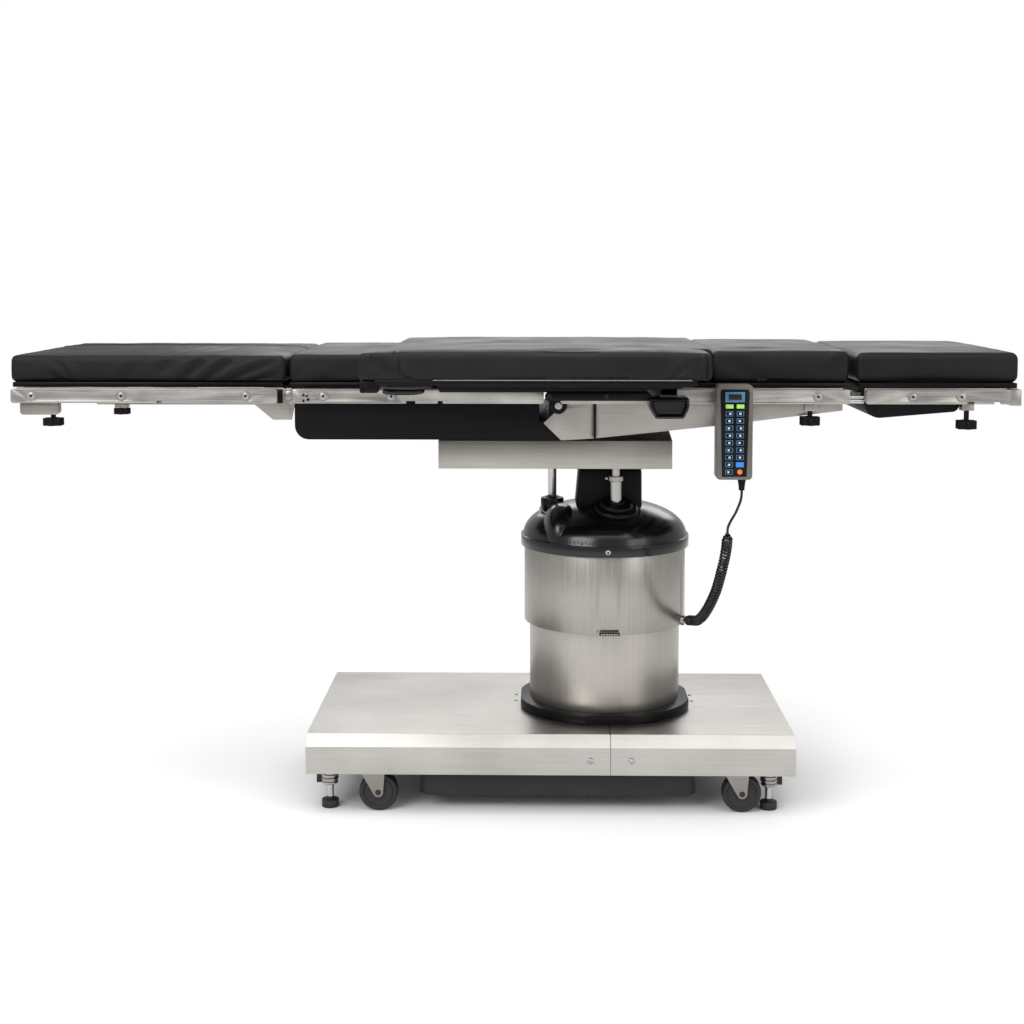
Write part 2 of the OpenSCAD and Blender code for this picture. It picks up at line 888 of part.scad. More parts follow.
module cross_bar(x) {
    block([x - cross_bar_w / 2, -frame_in_y, deck_under - cross_bar_h],
        [x + cross_bar_w / 2, frame_in_y, deck_under]);
}

// Back section: an arrow-shaped hinge plate, then a side frame that tapers towards the head
back_tip = [29.5, 34];
back_neck = [6.5, 56];
back_foot_run = 8;
back_foot_rise = 6;
back_heel_run = 5.5;
back_seam_run = 71.5;
back_seam_rise = 4;
back_seam_w = 1.2;
back_waist = [314, 29.5];
back_plate_gap = 13;
back_end_rise = 60;
back_bar_runs = [310, 430];
back_bar_end = 40;
back_knob_run = 77;
back_knob_rise = 31;
back_boss_rise = 60;
back_seam = back_axis_x + back_seam_run;
back_plate_x1 = back_x1 - back_plate_gap;
back_knob_x = back_x1 - back_knob_run;
back_boss_z = tub_z + back_boss_rise;
back_boss_top = rail_mid - spacer_r - clear;

module back_plate_outline() {
    difference() {
        union() {
            polygon([[back_axis_x - back_tip[0], tub_z + back_tip[1]],
                [back_axis_x - back_neck[0], tub_z + back_neck[1]],
                [back_axis_x + back_foot_run, rail_low + back_foot_rise],
                [back_axis_x + back_foot_run, deck_under], [back_plate_x1, deck_under],
                [back_plate_x1, tub_z + back_end_rise],
                [back_axis_x + back_waist[0], tub_z + back_waist[1]],
                [back_seam, tub_z + back_seam_rise], [back_axis_x + back_heel_run, tub_z]]);
            translate([back_axis_x, back_axis_z]) circle(hinge_eye_r);
        }
        translate([back_axis_x, back_axis_z]) circle(hinge_pin_r + run);
        translate([back_seam - back_seam_w / 2, tub_z])
            square([back_seam_w, rail_low - tub_z - back_seam_rise]);
    }
}

module back_frame_solid() {
    both_sides() across(frame_in_y, frame_t) back_plate_outline();
    for (x = [for (run_x = back_bar_runs) back_axis_x + run_x]) cross_bar(x);
    cross_bar(back_x1 - back_bar_end);
    both_sides() translate([0, post_y, head_axis_z]) head_post();
    knob_boss(back_knob_x, back_boss_z, back_boss_top);
}

// Post that carries the head section, ending in an eye
module head_post() {
    difference() {
        union() {
            rotate([0, 90, 0]) post(post_r, back_x1 - post_root, head_axis_x);
            pin_across(head_axis_x, 0, post_eye_r, -post_eye_w / 2, post_eye_w / 2);
        }
        pin_across(head_axis_x, 0, head_pin_r + run, -post_eye_w, post_eye_w);
    }
}

module back_frame() {
    color("silver") difference() {
        back_frame_solid();
        knob_bore(back_knob_x, tub_z + back_knob_rise + knob_h, back_boss_top - eps_cut);
    }
}

module back_knob() {
    z = tub_z + back_knob_rise;
    clamp_knob(back_knob_x, z, knob_r, knob_h, back_boss_top - 2 * eps_cut);
}

module back_rails() {
    color("silver") {
        rail_bar(back_axis_x + back_rail_foot, back_x1 - back_rail_head, back_bolts, []);
        rail_spacers(concat([for (run_x = back_spacer_runs) back_axis_x + run_x], back_bolts), frame_out_y);
    }
}

back_deck_foot = 10;
back_deck_head = 1;

module back_deck() {
    color("#1a1a1a") deck_plate(back_axis_x + back_deck_foot, back_x1 - back_deck_head);
}

module back_pad() {
    pad_block(back_x0, back_x1, back_pad_t);
}

// Head section: a curved tray under the deck, side plates and a hinge bar with cheeks
tray_gap = 1;
tray_l = 186;
tray_low = 811;
tray_foot_r = 30;
tray_head_r = 14;
tray_head_rise = 26;
tray_ledge = 10;
tray_ledge_h = 6;
head_deck_foot = 6;
head_deck_head = 4;
bar_foot = 16;
bar_w = 18;
bar_half_h = 8;
cheek_t = 8;
cheek_root = 1;
head_plate_foot = 14;
head_plate_head = 10;
plate_rise = 2;
head_bar_ends = [76, 30];
head_knob_run = 104;
head_knob_drop = 51;
head_boss_drop = 14;
head_boss_h = 18;
head_stem_drop = 2;
bar_x0 = head_x0 + bar_foot;
tray_x0 = head_axis_x + post_eye_r + tray_gap;
head_knob_x = head_x1 - head_knob_run;
head_boss_z = rail_low - head_boss_drop;

module tray_outline() {
    tray_x1 = tray_x0 + tray_l;
    hull() {
        translate([tray_x0 + tray_foot_r, tray_low + tray_foot_r]) circle(tray_foot_r, $fn = small_fn);
        translate([tray_x0, deck_under - tray_ledge_h]) square([tray_ledge, tray_ledge_h]);
        translate([tray_x1 - tray_head_r, tray_low + tray_head_rise]) circle(tray_head_r, $fn = small_fn);
        translate([tray_x1 - tray_ledge, deck_under - tray_ledge_h]) square([tray_ledge, tray_ledge_h]);
    }
}

module head_hinge_bar(extra) {
    block([bar_x0 - extra, -frame_in_y - eps_cut, head_axis_z - bar_half_h - extra],
        [bar_x0 + bar_w + extra, frame_in_y + eps_cut, head_axis_z + bar_half_h + extra]);
}

// Cheeks on both sides of each post's eye
module head_cheeks(extra) {
    for (y = [post_y - post_eye_w / 2 - clear - cheek_t, post_y + post_eye_w / 2 + clear]) {
        pin_across(head_axis_x, head_axis_z, bar_half_h + extra, y - extra, y + cheek_t + extra);
        block([head_axis_x, y - extra, head_axis_z - bar_half_h - extra],
            [bar_x0 + cheek_root, y + cheek_t + extra, head_axis_z + bar_half_h + extra]);
    }
}

module head_tray() {
    color("#151515") {
        difference() {
            across(-frame_in_y + clear, 2 * (frame_in_y - clear)) tray_outline();
            head_hinge_bar(clear);
            both_sides() head_cheeks(clear);
        }
        deck_plate(head_x0 + head_deck_foot, head_x1 - head_deck_head);
    }
}

module head_frame_solid() {
    both_sides() across(frame_in_y, frame_t) translate([head_x0 + head_plate_foot, rail_low + plate_rise])
        square([head_pad_l - head_plate_foot - head_plate_head, deck_under - rail_low - plate_rise]);
    head_hinge_bar(0);
    for (end = head_bar_ends) cross_bar(head_x1 - end);
    both_sides() {
        head_cheeks(0);
        pin_across(head_axis_x, head_axis_z, head_pin_r, post_y - post_eye_w, post_y + post_eye_w);
    }
    knob_boss(head_knob_x, head_boss_z, head_boss_z + head_boss_h);
}

module head_frame() {
    color("silver") difference() {
        head_frame_solid();
        knob_bore(head_knob_x, head_boss_z, rail_low);
    }
}

module head_knob() {
    clamp_knob(head_knob_x, rail_low - head_knob_drop, knob_r, knob_h, rail_low - head_stem_drop);
}

module head_rails() {
    color("silver") {
        rail_bar(head_x0 + head_rail_foot, head_x1 - head_rail_head, head_bolts,
            [for (n = head_rail_notches) [head_x0 + n[0], n[1]]]);
        rail_spacers(concat(head_bolts, [head_x1 - head_end_spacer]), frame_out_y);
    }
}

module head_pad() {
    pad_block(head_x0, head_x1, head_pad_t);
}

// Leg section: stepped side plates, an end bracket on each side and cross bars under the deck
leg_plate_foot = 15;
leg_step_run = 174;
leg_step_drop = 5;
leg_ramp_run = 69;
leg_heel_run = 33;
leg_heel_drop = 35;
leg_toe_run = 4;
leg_top_run = 12;
leg_eye_r = 14;
leg_bracket_run = 23;
leg_bracket_l = 76;
leg_bracket_drop = 25;
leg_bracket_step = 9;
leg_bracket_r = 7;
leg_bar_runs = [40, 300];
leg_bar_end = 38;
leg_deck_gap = 4;
leg_end_knob_run = 86;
leg_end_knob_drop = 47;
leg_end_knob_h = 15;
leg_end_stem_drop = 4;
leg_mid_knob_run = 224;
leg_mid_knob_drop = 24;
leg_mid_boss_drop = 11;
leg_mid_stem_drop = 4;
leg_knob_end_x = leg_x0 + leg_end_knob_run;
leg_knob_mid_x = leg_x0 + leg_mid_knob_run;

module leg_plate_outline() {
    difference() {
        union() {
            polygon([[leg_x0 + leg_plate_foot, rail_low + plate_rise],
                [leg_x0 + leg_step_run, rail_low + plate_rise],
                [leg_x0 + leg_step_run, rail_low - leg_step_drop],
                [leg_axis_x - leg_ramp_run, rail_low - leg_step_drop],
                [leg_axis_x - leg_heel_run, rail_low - leg_heel_drop],
                [leg_axis_x + leg_toe_run, rail_low - leg_heel_drop],
                [leg_axis_x + leg_top_run, rail_low + plate_rise], [leg_axis_x + leg_top_run, leg_axis_z],
                [leg_axis_x - leg_top_run, deck_under], [leg_x0 + leg_plate_foot, deck_under]]);
            translate([leg_axis_x, leg_axis_z]) circle(leg_eye_r);
        }
        translate([leg_axis_x, leg_axis_z]) circle(hinge_pin_r + run);
    }
}

module leg_bracket() {
    x = leg_x0 + leg_bracket_run;
    across(frame_in_y - leg_bracket_step, frame_t + 2 * leg_bracket_step)
        soft_square([x, rail_low - leg_bracket_drop], [x + leg_bracket_l, rail_low + plate_rise],
            leg_bracket_r, $fn = small_fn);
}

module leg_frame_solid() {
    both_sides() {
        across(frame_in_y, frame_t) leg_plate_outline();
        leg_bracket();
    }
    for (run_x = leg_bar_runs) cross_bar(leg_x0 + run_x);
    cross_bar(leg_axis_x - leg_bar_end);
    knob_boss(leg_knob_mid_x, rail_low - leg_mid_boss_drop, rail_low + plate_rise);
}

module leg_frame() {
    color("silver") difference() {
        leg_frame_solid();
        knob_bore(leg_knob_mid_x, rail_low - leg_mid_boss_drop, rail_low - leg_mid_stem_drop + clear);
        knob_bore(leg_knob_end_x, rail_low - leg_bracket_drop, rail_low - leg_end_stem_drop + clear);
    }
}

module leg_knob_end() {
    clamp_knob(leg_knob_end_x, rail_low - leg_end_knob_drop, knob_r, leg_end_knob_h,
        rail_low - leg_end_stem_drop);
}

module leg_knob_mid() {
    clamp_knob(leg_knob_mid_x, rail_low - leg_mid_knob_drop, small_knob_r, small_knob_h,
        rail_low - leg_mid_stem_drop);
}

module leg_rails() {
    color("silver") {
        rail_bar(leg_x0 + leg_rail_foot, leg_axis_x - leg_rail_head, leg_bolts,
            [[leg_x0 + leg_rail_notch, notch_half]]);
        rail_spacers(leg_bolts, frame_out_y);
    }
}

module leg_deck() {
    color("#1a1a1a") deck_plate(leg_x0 + leg_deck_gap, leg_x1 - leg_deck_gap);
}

module leg_pad() {
    pad_block(leg_x0, leg_x1, leg_pad_t);
}

// Arm board, stowed along the near side on a clamp that slides on the back rail
arm_pivot_run = 212.5;
arm_pivot_gap = 44;
arm_stub = 72;
arm_board_rise = 7;
arm_board_t = 10;
arm_pin_r = 8;
clamp_half = 39;
clamp_gap = 3;
clamp_swivel_gap = 10;
clamp_reach = 26;
clamp_shelf_drop = 13;
clamp_low_drop = 24;
clamp_in = 8;
clamp_jaw_t = 28;
clamp_hook_t = 6;
clamp_floor = 4;
swivel_r = 42;
arm_pivot_x = back_axis_x + arm_pivot_run;
arm_pivot_y = -(rail_out_y + arm_pivot_gap);
arm_x0 = arm_pivot_x + arm_stub - arm_l;
arm_x1 = arm_x0 + arm_l;
arm_board_z = deck_z + arm_board_rise;
clamp_top = arm_board_z - clamp_swivel_gap;
clamp_shelf = rail_top - clamp_shelf_drop;
clamp_low = rail_low - clamp_low_drop;

module arm_clamp() {
    x0 = arm_pivot_x - clamp_half;
    x1 = arm_pivot_x + clamp_half;
    color("#151515") difference() {
        union() {
            // Jaw in front of the rail
            across(-rail_out_y - clamp_jaw_t, clamp_jaw_t - clear) polygon([[x0, clamp_shelf],
                [x1, clamp_shelf], [x1 - clamp_in, clamp_low], [x0 + clamp_in, clamp_low]]);
            // Housing above it, with a hook over and behind the rail
            block([x0, arm_pivot_y - clamp_reach, clamp_shelf], [x1, -rail_out_y - clear, clamp_top]);
            block([x0, -rail_out_y - clamp_gap, rail_top + clear],
                [x1, -rail_in_y + clamp_hook_t, clamp_top]);
            block([x0, -rail_in_y + clear, rail_mid], [x1, -rail_in_y + clamp_hook_t, clamp_top]);
        }
        translate([arm_pivot_x, arm_pivot_y, 0])
            post(arm_pin_r + run, clamp_shelf + clamp_floor, clamp_top + eps_cut);
    }
}

// Board, swivel plate and pivot pin
board_foot = 30;
board_head = 26;
board_side = 8;
board_corner = 14;

module arm_board() {
    color("#1a1a1a") {
        translate([0, 0, arm_board_z]) linear_extrude(arm_board_t)
            soft_square([arm_x0 + board_foot, -arm_out_y + board_side],
                [arm_x1 - board_head, -arm_in_y - board_side], board_corner);
        translate([arm_pivot_x, arm_pivot_y, 0]) {
            post(swivel_r, clamp_top + clear, arm_board_z);
            post(arm_pin_r, clamp_shelf + clamp_floor + eps_cut / 2, arm_board_z);
        }
    }
}

// Locking link under the board, with its two bolts
link_runs = [237, 60];
link_half = 10;
link_drop = 27;
link_t = 16;
link_corner = 9;
link_bolt_r = 7;
link_bolt_runs = [229, 124];

module arm_link() {
    z = arm_board_z - link_drop;
    color("#1a1a1a") {
        translate([0, 0, z]) linear_extrude(link_t)
            soft_square([arm_pivot_x - link_runs[0], arm_pivot_y - link_half],
                [arm_pivot_x - link_runs[1], arm_pivot_y + link_half], link_corner);
        for (run_x = link_bolt_runs) translate([arm_pivot_x - run_x, arm_pivot_y, 0])
            post(link_bolt_r, z + link_t, arm_board_z);
    }
}

// Release lever under the free end of the board, drawn around four corner circles
lever_half = 22;
lever_top_r = 3;
lever_low_r = 6;
lever_low_drop = 11;
lever_top_runs = [52, 136];
lever_low_runs = [60, 108];

module arm_release() {
    top = arm_board_z - clear - lever_top_r;
    color("#151515") across(arm_pivot_y - lever_half, 2 * lever_half) hull() {
        for (run_x = lever_top_runs) translate([arm_x0 + run_x, top]) circle(lever_top_r, $fn = small_fn);
        for (run_x = lever_low_runs)
            translate([arm_x0 + run_x, arm_board_z - lever_low_drop]) circle(lever_low_r, $fn = small_fn);
    }
}

arm_pad_corner = 20;

module arm_pad() {
    color("#222224") translate([0, -arm_out_y, arm_board_z + arm_board_t + clear])
        linear_extrude(arm_pad_t) soft_square([arm_x0, 0], [arm_x1, arm_w], arm_pad_corner);
}

// Hand control that hangs on the back rail
pendant_run = 340.5;
pendant_over = 12;
pendant_corner = 8;
hook_half = 20;
hook_t = 5;
hook_root = 4;
relief_run = 17;
relief_l = 22.6;
relief_r = 8;
relief_tip_r = 5;
pendant_x = back_axis_x + pendant_run;
pendant_z0 = rail_top + pendant_over - pendant_h;
pendant_y1 = -rail_out_y - clear;

module pendant_shell() {
    color("#8d867c") {
        translate([pendant_x, 0, 0]) across(pendant_y1 - pendant_t, pendant_t)
            soft_square([-pendant_w / 2, pendant_z0], [pendant_w / 2, pendant_z0 + pendant_h],
                pendant_corner);
        // Hook over the rail
        block([pendant_x - hook_half, pendant_y1 - hook_root, rail_top + clear],
            [pendant_x + hook_half, -rail_in_y + hook_t, rail_top + hook_t]);
        block([pendant_x - hook_half, -rail_in_y + clear, rail_mid],
            [pendant_x + hook_half, -rail_in_y + hook_t, rail_top + hook_t]);
        // Strain relief
        translate([pendant_x + relief_run, pendant_y1 - pendant_t / 2, pendant_z0 - relief_l])
            cylinder(r1 = relief_tip_r, r2 = relief_r, h = relief_l);
    }
}

// Membrane keys in two columns of rows, and the display above them
key_w = 17;
key_h = 12;
key_pitch = 15;
key_out = 1.2;
key_run = 13;
key_rise = 12;
key_rows = 10;
display_half = 24;
display_rises = [26, 12]; // below the top of the control

module pendant_keys() {
    color("#2c3440") translate([pendant_x, pendant_y1 - pendant_t, pendant_z0]) {
        for (row = [0 : key_rows - 1], side = [-1, 1])
            translate([side * key_run, 0, key_rise + row * key_pitch])
                block([-key_w / 2, -key_out, 0], [key_w / 2, 0, key_h]);
        block([-display_half, -key_out, pendant_h - display_rises[0]],
            [display_half, 0, pendant_h - display_rises[1]]);
    }
}

// Lead and curly cord of the hand control
gland_z = 360;
gland_turn = -20;
gland_r = 11;
gland_l = 6;
lead_r = 3;
coil_r = 9;
cord_sides = 8;
cord_route = [[449, -310.8, 674], [449, -310.8, 664], [447, -310, 652], [439, -307, 630],
    [430, -304, 613], [424.5, -300.4, 599], [424, -297, 588]];
coil_route = [[424, -296.9, 587.6], [424, -293, 575.1], [424, -283, 556], [422, -272, 533],
    [418, -262, 508], [414, -249, 483], [409, -234, 457], [402, -214, 431],
    [395, -188, 407], [389, -158, 388], [385, -130, 376], [384, -105, 369],
    [381, -85, 364.5], [376, -71, 362], [369.97, -63.68, 360.3], [363.4, -61.3, 360]];

function unit(v) = v / norm(v);
function ring_points(route, i, r) =
    let (a = route[max(0, i - 1)], b = route[min(len(route) - 1, i + 1)],
        t = unit(b - a), s = unit(cross(t, [0.3, 1, 0.2])), u = cross(t, s))
    [for (k = [0 : cord_sides - 1]) let (q = 360 * k / cord_sides)
        route[i] + r * (cos(q) * s + sin(q) * u)];

// A tube swept along a route
module swept(route, r) {
    n = len(route);
    points = [for (i = [0 : n - 1]) each ring_points(route, i, r)];
    sides = [for (i = [0 : n - 2], k = [0 : cord_sides - 1])
        let (a = i * cord_sides + k, b = i * cord_sides + (k + 1) % cord_sides)
        [a, b, b + cord_sides, a + cord_sides]];
    ends = [[for (k = [0 : cord_sides - 1]) cord_sides - 1 - k],
        [for (k = [0 : cord_sides - 1]) (n - 1) * cord_sides + k]];
    polyhedron(points, concat(sides, ends));
}

module pendant_cord() {
    color("#111111") swept(cord_route, lead_r);
}

module pendant_coil() {
    color("#111111") swept(coil_route, coil_r);
}

// Puts the table over the frame's origin
module stand() {
    translate([0, frame_shift, 0]) children();
}

stand() base_cover_foot();
stand() base_cover_head();
stand() base_frame();
stand() battery_box();
stand() column_collar();
stand() lock_housings();
stand() lock_feet();
stand() column_tube();
stand() lower_shroud();
stand() middle_shroud();
stand() upper_shroud();
stand() caster_fork(caster_places[0]);  // caster_fork_a
stand() caster_fork(caster_places[1]);  // caster_fork_b
stand() caster_fork(caster_places[2]);  // caster_fork_c
stand() caster_fork(caster_places[3]);  // caster_fork_d
stand() caster_wheel(caster_places[0]);  // caster_wheel_a
stand() caster_wheel(caster_places[1]);  // caster_wheel_b
stand() caster_wheel(caster_places[2]);  // caster_wheel_c
stand() caster_wheel(caster_places[3]);  // caster_wheel_d
stand() dome_cover();
stand() neck_cover();
stand() lift_mast();
stand() rod_boots();
stand() tilt_rod();
stand() trend_rod();
stand() gimbal_cross();
stand() saddle_cover();
stand() seat_frame();
stand() seat_tub();
stand() seat_rails();
stand() seat_deck();
stand() seat_pad();
stand() centre_pad_seat();
stand() centre_pad_flex();
stand() centre_pad_back();
stand() back_frame();
stand() back_rails();
stand() back_deck();
stand() back_pad();
stand() back_knob();
stand() head_tray();
stand() head_frame();
stand() head_rails();
stand() head_pad();
stand() head_knob();
stand() leg_frame();
stand() leg_rails();
stand() leg_deck();
stand() leg_pad();
stand() leg_knob_end();
stand() leg_knob_mid();
stand() arm_clamp();
stand() arm_link();
stand() arm_board();
stand() arm_pad();
stand() arm_release();
stand() pendant_shell();
stand() pendant_keys();
stand() pendant_cord();
stand() pendant_coil();
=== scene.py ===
# Powered operating table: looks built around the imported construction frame
import json
import math

import bmesh
import bpy
from mathutils import Matrix, Vector, noise


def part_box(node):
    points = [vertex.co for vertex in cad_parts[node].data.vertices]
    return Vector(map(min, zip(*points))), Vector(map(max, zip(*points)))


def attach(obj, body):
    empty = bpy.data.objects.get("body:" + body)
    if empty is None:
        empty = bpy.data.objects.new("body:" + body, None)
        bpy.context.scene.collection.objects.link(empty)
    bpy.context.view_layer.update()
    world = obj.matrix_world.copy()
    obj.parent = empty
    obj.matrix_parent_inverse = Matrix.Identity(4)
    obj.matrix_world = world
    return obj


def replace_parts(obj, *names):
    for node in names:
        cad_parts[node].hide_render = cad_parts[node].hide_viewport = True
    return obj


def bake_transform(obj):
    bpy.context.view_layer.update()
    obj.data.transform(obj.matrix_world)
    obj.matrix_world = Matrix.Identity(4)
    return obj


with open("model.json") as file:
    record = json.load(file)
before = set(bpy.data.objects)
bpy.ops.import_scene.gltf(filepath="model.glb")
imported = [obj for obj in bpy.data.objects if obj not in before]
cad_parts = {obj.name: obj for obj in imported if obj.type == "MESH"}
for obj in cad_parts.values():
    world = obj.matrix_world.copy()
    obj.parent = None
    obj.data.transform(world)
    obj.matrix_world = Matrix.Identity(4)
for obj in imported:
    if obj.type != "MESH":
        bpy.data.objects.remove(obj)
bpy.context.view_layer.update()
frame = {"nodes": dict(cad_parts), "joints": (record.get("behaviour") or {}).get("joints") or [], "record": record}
record = frame["record"]

legPadLow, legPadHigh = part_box("leg_pad")
centreY = (legPadLow.y + legPadHigh.y) / 2  # the table's own centre plane
mm = 0.001


def at(x, y, z):  # a place in millimetres, y counted from the table's centre plane
    return Vector((x * mm, y * mm + centreY, z * mm))


def addObject(name, data):
    made = bpy.data.objects.new(name, data)
    bpy.context.scene.collection.objects.link(made)
    return made


# Camera, fitted to the photograph's view
cameraSettings = {
    "focalPixels": 1594.5,
    "place": (51.8, -3408.3, 1111.0),
    "yaw": 0.0166,
    "pitch": 0.0772,
    "shiftY": -0.12,
    "picture": 1024,
    "sensor": 36.0,
    "clip": (0.05, 60),
}


def makeCamera(settings):
    data = bpy.data.cameras.new("viewCamera")
    data.sensor_width = settings["sensor"]
    data.lens = settings["focalPixels"] * settings["sensor"] / settings["picture"]
    data.shift_y = settings["shiftY"]
    data.clip_start, data.clip_end = settings["clip"]
    camera = addObject("viewCamera", data)
    camera.location = at(*settings["place"])
    camera.rotation_euler = (math.pi / 2 - settings["pitch"], 0, settings["yaw"])
    bpy.context.scene.camera = camera


makeCamera(cameraSettings)
print("camera placed")


def setInput(node, label, value):
    node.inputs[label].default_value = value


def join(links, source, output, target, entry):
    links.new(source.outputs[output], target.inputs[entry])


def mathNode(nodes, operation, value=None):
    node = nodes.new("ShaderNodeMath")
    node.operation = operation
    if value is not None:
        setInput(node, 1, value)
    return node


# Lights and floor
lightSettings = {
    "world": 0.62,
    "lamps": {  # place, aim, width, height and power
        "keyLamp": ((-2.2, -3.2, 2.7), (0, 0, 0.5), 2.4, 1.6, 84),
        "fillLamp": ((2.8, -2.6, 1.7), (0.2, 0, 0.5), 1.8, 1.8, 29),
        "topLamp": ((-0.3, 0.3, 3.3), (0, 0, 0.6), 3.0, 1.2, 38),
        "frontTopLamp": ((0.1, -1.2, 2.3), (0.1, -1.2, 0), 3.2, 1.3, 30),
        "rimLamp": ((0.4, 3.0, 2.0), (0.1, 0, 0.7), 3.0, 1.0, 30),
    },
}
floorSettings = {"half": 14, "tone": (0.93, 0.93, 0.93, 1), "rough": 0.9, "fade": (0.95, 1.7)}
white = (1, 1, 1, 1)


def softLamp(name, place, aim, width, height, power):
    data = bpy.data.lights.new(name, "AREA")
    data.shape = "RECTANGLE"
    data.size = width
    data.size_y = height
    data.energy = power
    lamp = addObject(name, data)
    lamp.location = place
    lamp.rotation_euler = (Vector(aim) - Vector(place)).to_track_quat("-Z", "Y").to_euler()


def makeStudio(settings):
    for name, values in settings["lamps"].items():
        softLamp(name, *values)
    world = bpy.data.worlds.new("studioWorld")
    bpy.context.scene.world = world
    world.use_nodes = True
    nodes, links = world.node_tree.nodes, world.node_tree.links
    background = nodes["Background"]
    setInput(background, "Color", white)
    setInput(background, "Strength", settings["world"])
    plain = nodes.new("ShaderNodeBackground")
    setInput(plain, "Strength", 1.0)
    setInput(plain, "Color", white)
    path = nodes.new("ShaderNodeLightPath")
    mix = nodes.new("ShaderNodeMixShader")
    join(links, path, "Is Camera Ray", mix, "Fac")
    join(links, background, "Background", mix, 1)
    join(links, plain, "Background", mix, 2)
    links.new(mix.outputs["Shader"], nodes["World Output"].inputs["Surface"])
    bpy.context.scene.view_settings.view_transform = "Standard"


def makeFloor(settings):
    bm = bmesh.new()
    bmesh.ops.create_grid(bm, x_segments=1, y_segments=1, size=settings["half"])
    mesh = bpy.data.meshes.new("studioFloor")
    bm.to_mesh(mesh)
    bm.free()
    floor = addObject("studioFloor", mesh)
    material = bpy.data.materials.new("floorWhite")
    material.use_nodes = True
    nodes, links = material.node_tree.nodes, material.node_tree.links
    shader = nodes["Principled BSDF"]
    setInput(shader, "Base Color", settings["tone"])
    setInput(shader, "Roughness", settings["rough"])
    glow = nodes.new("ShaderNodeEmission")
    setInput(glow, "Color", white)
    path = nodes.new("ShaderNodeLightPath")
    coords = nodes.new("ShaderNodeTexCoord")
    distance = nodes.new("ShaderNodeVectorMath")
    distance.operation = "LENGTH"
    fade = nodes.new("ShaderNodeMapRange")
    fade.inputs["From Min"].default_value, fade.inputs["From Max"].default_value = settings["fade"]
    seen = mathNode(nodes, "MULTIPLY")
    mix = nodes.new("ShaderNodeMixShader")
    join(links, coords, "Object", distance, 0)
    join(links, distance, "Value", fade, "Value")
    join(links, fade, "Result", seen, 0)
    join(links, path, "Is Camera Ray", seen, 1)
    join(links, seen, "Value", mix, "Fac")
    join(links, shader, "BSDF", mix, 1)
    join(links, glow, "Emission", mix, 2)
    links.new(mix.outputs["Shader"], nodes["Material Output"].inputs["Surface"])
    floor.data.materials.append(material)


makeStudio(lightSettings)
makeFloor(floorSettings)
print("studio lit")


# Shader groups
def newGroup(name, inputs, outputs):
    group = bpy.data.node_groups.new(name, "ShaderNodeTree")
    for label, kind, value in inputs:
        socket = group.interface.new_socket(name=label, in_out="INPUT", socket_type=kind)
        socket.default_value = value
    for label, kind in outputs:
        group.interface.new_socket(name=label, in_out="OUTPUT", socket_type=kind)
    return group, group.nodes.new("NodeGroupInput"), group.nodes.new("NodeGroupOutput")


def makeGrainGroup():  # long brush marks and soft clouds of tone
    group, entry, leave = newGroup(
        "brushedGrain",
        [
            ("Stretch", "NodeSocketVector", (6, 900, 900)),
            ("Cloud Scale", "NodeSocketFloat", 5.0),
        ],
        [("Grain", "NodeSocketFloat"), ("Cloud", "NodeSocketFloat")],
    )
    nodes, links = group.nodes, group.links
    coords = nodes.new("ShaderNodeTexCoord")
    scale = nodes.new("ShaderNodeVectorMath")
    scale.operation = "MULTIPLY"
    grain = nodes.new("ShaderNodeTexNoise")
    setInput(grain, "Scale", 1.0)
    setInput(grain, "Detail", 3.0)
    cloud = nodes.new("ShaderNodeTexNoise")
    setInput(cloud, "Detail", 4.0)
    join(links, coords, "Object", scale, 0)
    join(links, entry, "Stretch", scale, 1)
    join(links, scale, "Vector", grain, "Vector")
    join(links, coords, "Object", cloud, "Vector")
    join(links, entry, "Cloud Scale", cloud, "Scale")
    join(links, grain, "Fac", leave, "Grain")
    join(links, cloud, "Fac", leave, "Cloud")
    return group


def makeLeatherGroup():  # fine pebble of coated cloth, with faint rubbed patches
    group, entry, leave = newGroup(
        "vinylPebble",
        [("Pebble Scale", "NodeSocketFloat", 900.0), ("Patch Scale", "NodeSocketFloat", 9.0)],
        [("Pebble", "NodeSocketFloat"), ("Patch", "NodeSocketFloat")],
    )
    nodes, links = group.nodes, group.links
    coords = nodes.new("ShaderNodeTexCoord")
    cells = nodes.new("ShaderNodeTexVoronoi")
    cells.feature = "F1"
    fine = nodes.new("ShaderNodeTexNoise")
    setInput(fine, "Detail", 2.0)
    patch = nodes.new("ShaderNodeTexNoise")
    setInput(patch, "Detail", 5.0)
    blend = mathNode(nodes, "MULTIPLY")
    join(links, coords, "Object", cells, "Vector")
    join(links, coords, "Object", fine, "Vector")
    join(links, coords, "Object", patch, "Vector")
    join(links, entry, "Pebble Scale", cells, "Scale")
    join(links, entry, "Pebble Scale", fine, "Scale")
    join(links, entry, "Patch Scale", patch, "Scale")
    join(links, cells, "Distance", blend, 0)
    join(links, fine, "Fac", blend, 1)
    join(links, blend, "Value", leave, "Pebble")
    join(links, patch, "Fac", leave, "Patch")
    return group


brushedGrain = makeGrainGroup()
vinylPebble = makeLeatherGroup()


def newMaterial(name, metallic=0.0, coat=0.0, specular=0.5):
    material = bpy.data.materials.new(name)
    material.use_nodes = True
    shader = material.node_tree.nodes["Principled BSDF"]
    setInput(shader, "Metallic", metallic)
    setInput(shader, "Coat Weight", coat)
    setInput(shader, "Specular IOR Level", specular)
    return material, shader, material.node_tree.nodes, material.node_tree.links


noiseRange = (0.3, 0.7)  # where a noise's values mostly lie


def ramp(nodes, low, high):
    node = nodes.new("ShaderNodeValToRGB")
    for element, place, tone in zip(node.color_ramp.elements, noiseRange, (low, high)):
        element.position = place
        element.color = (*tone, 1)
    return node


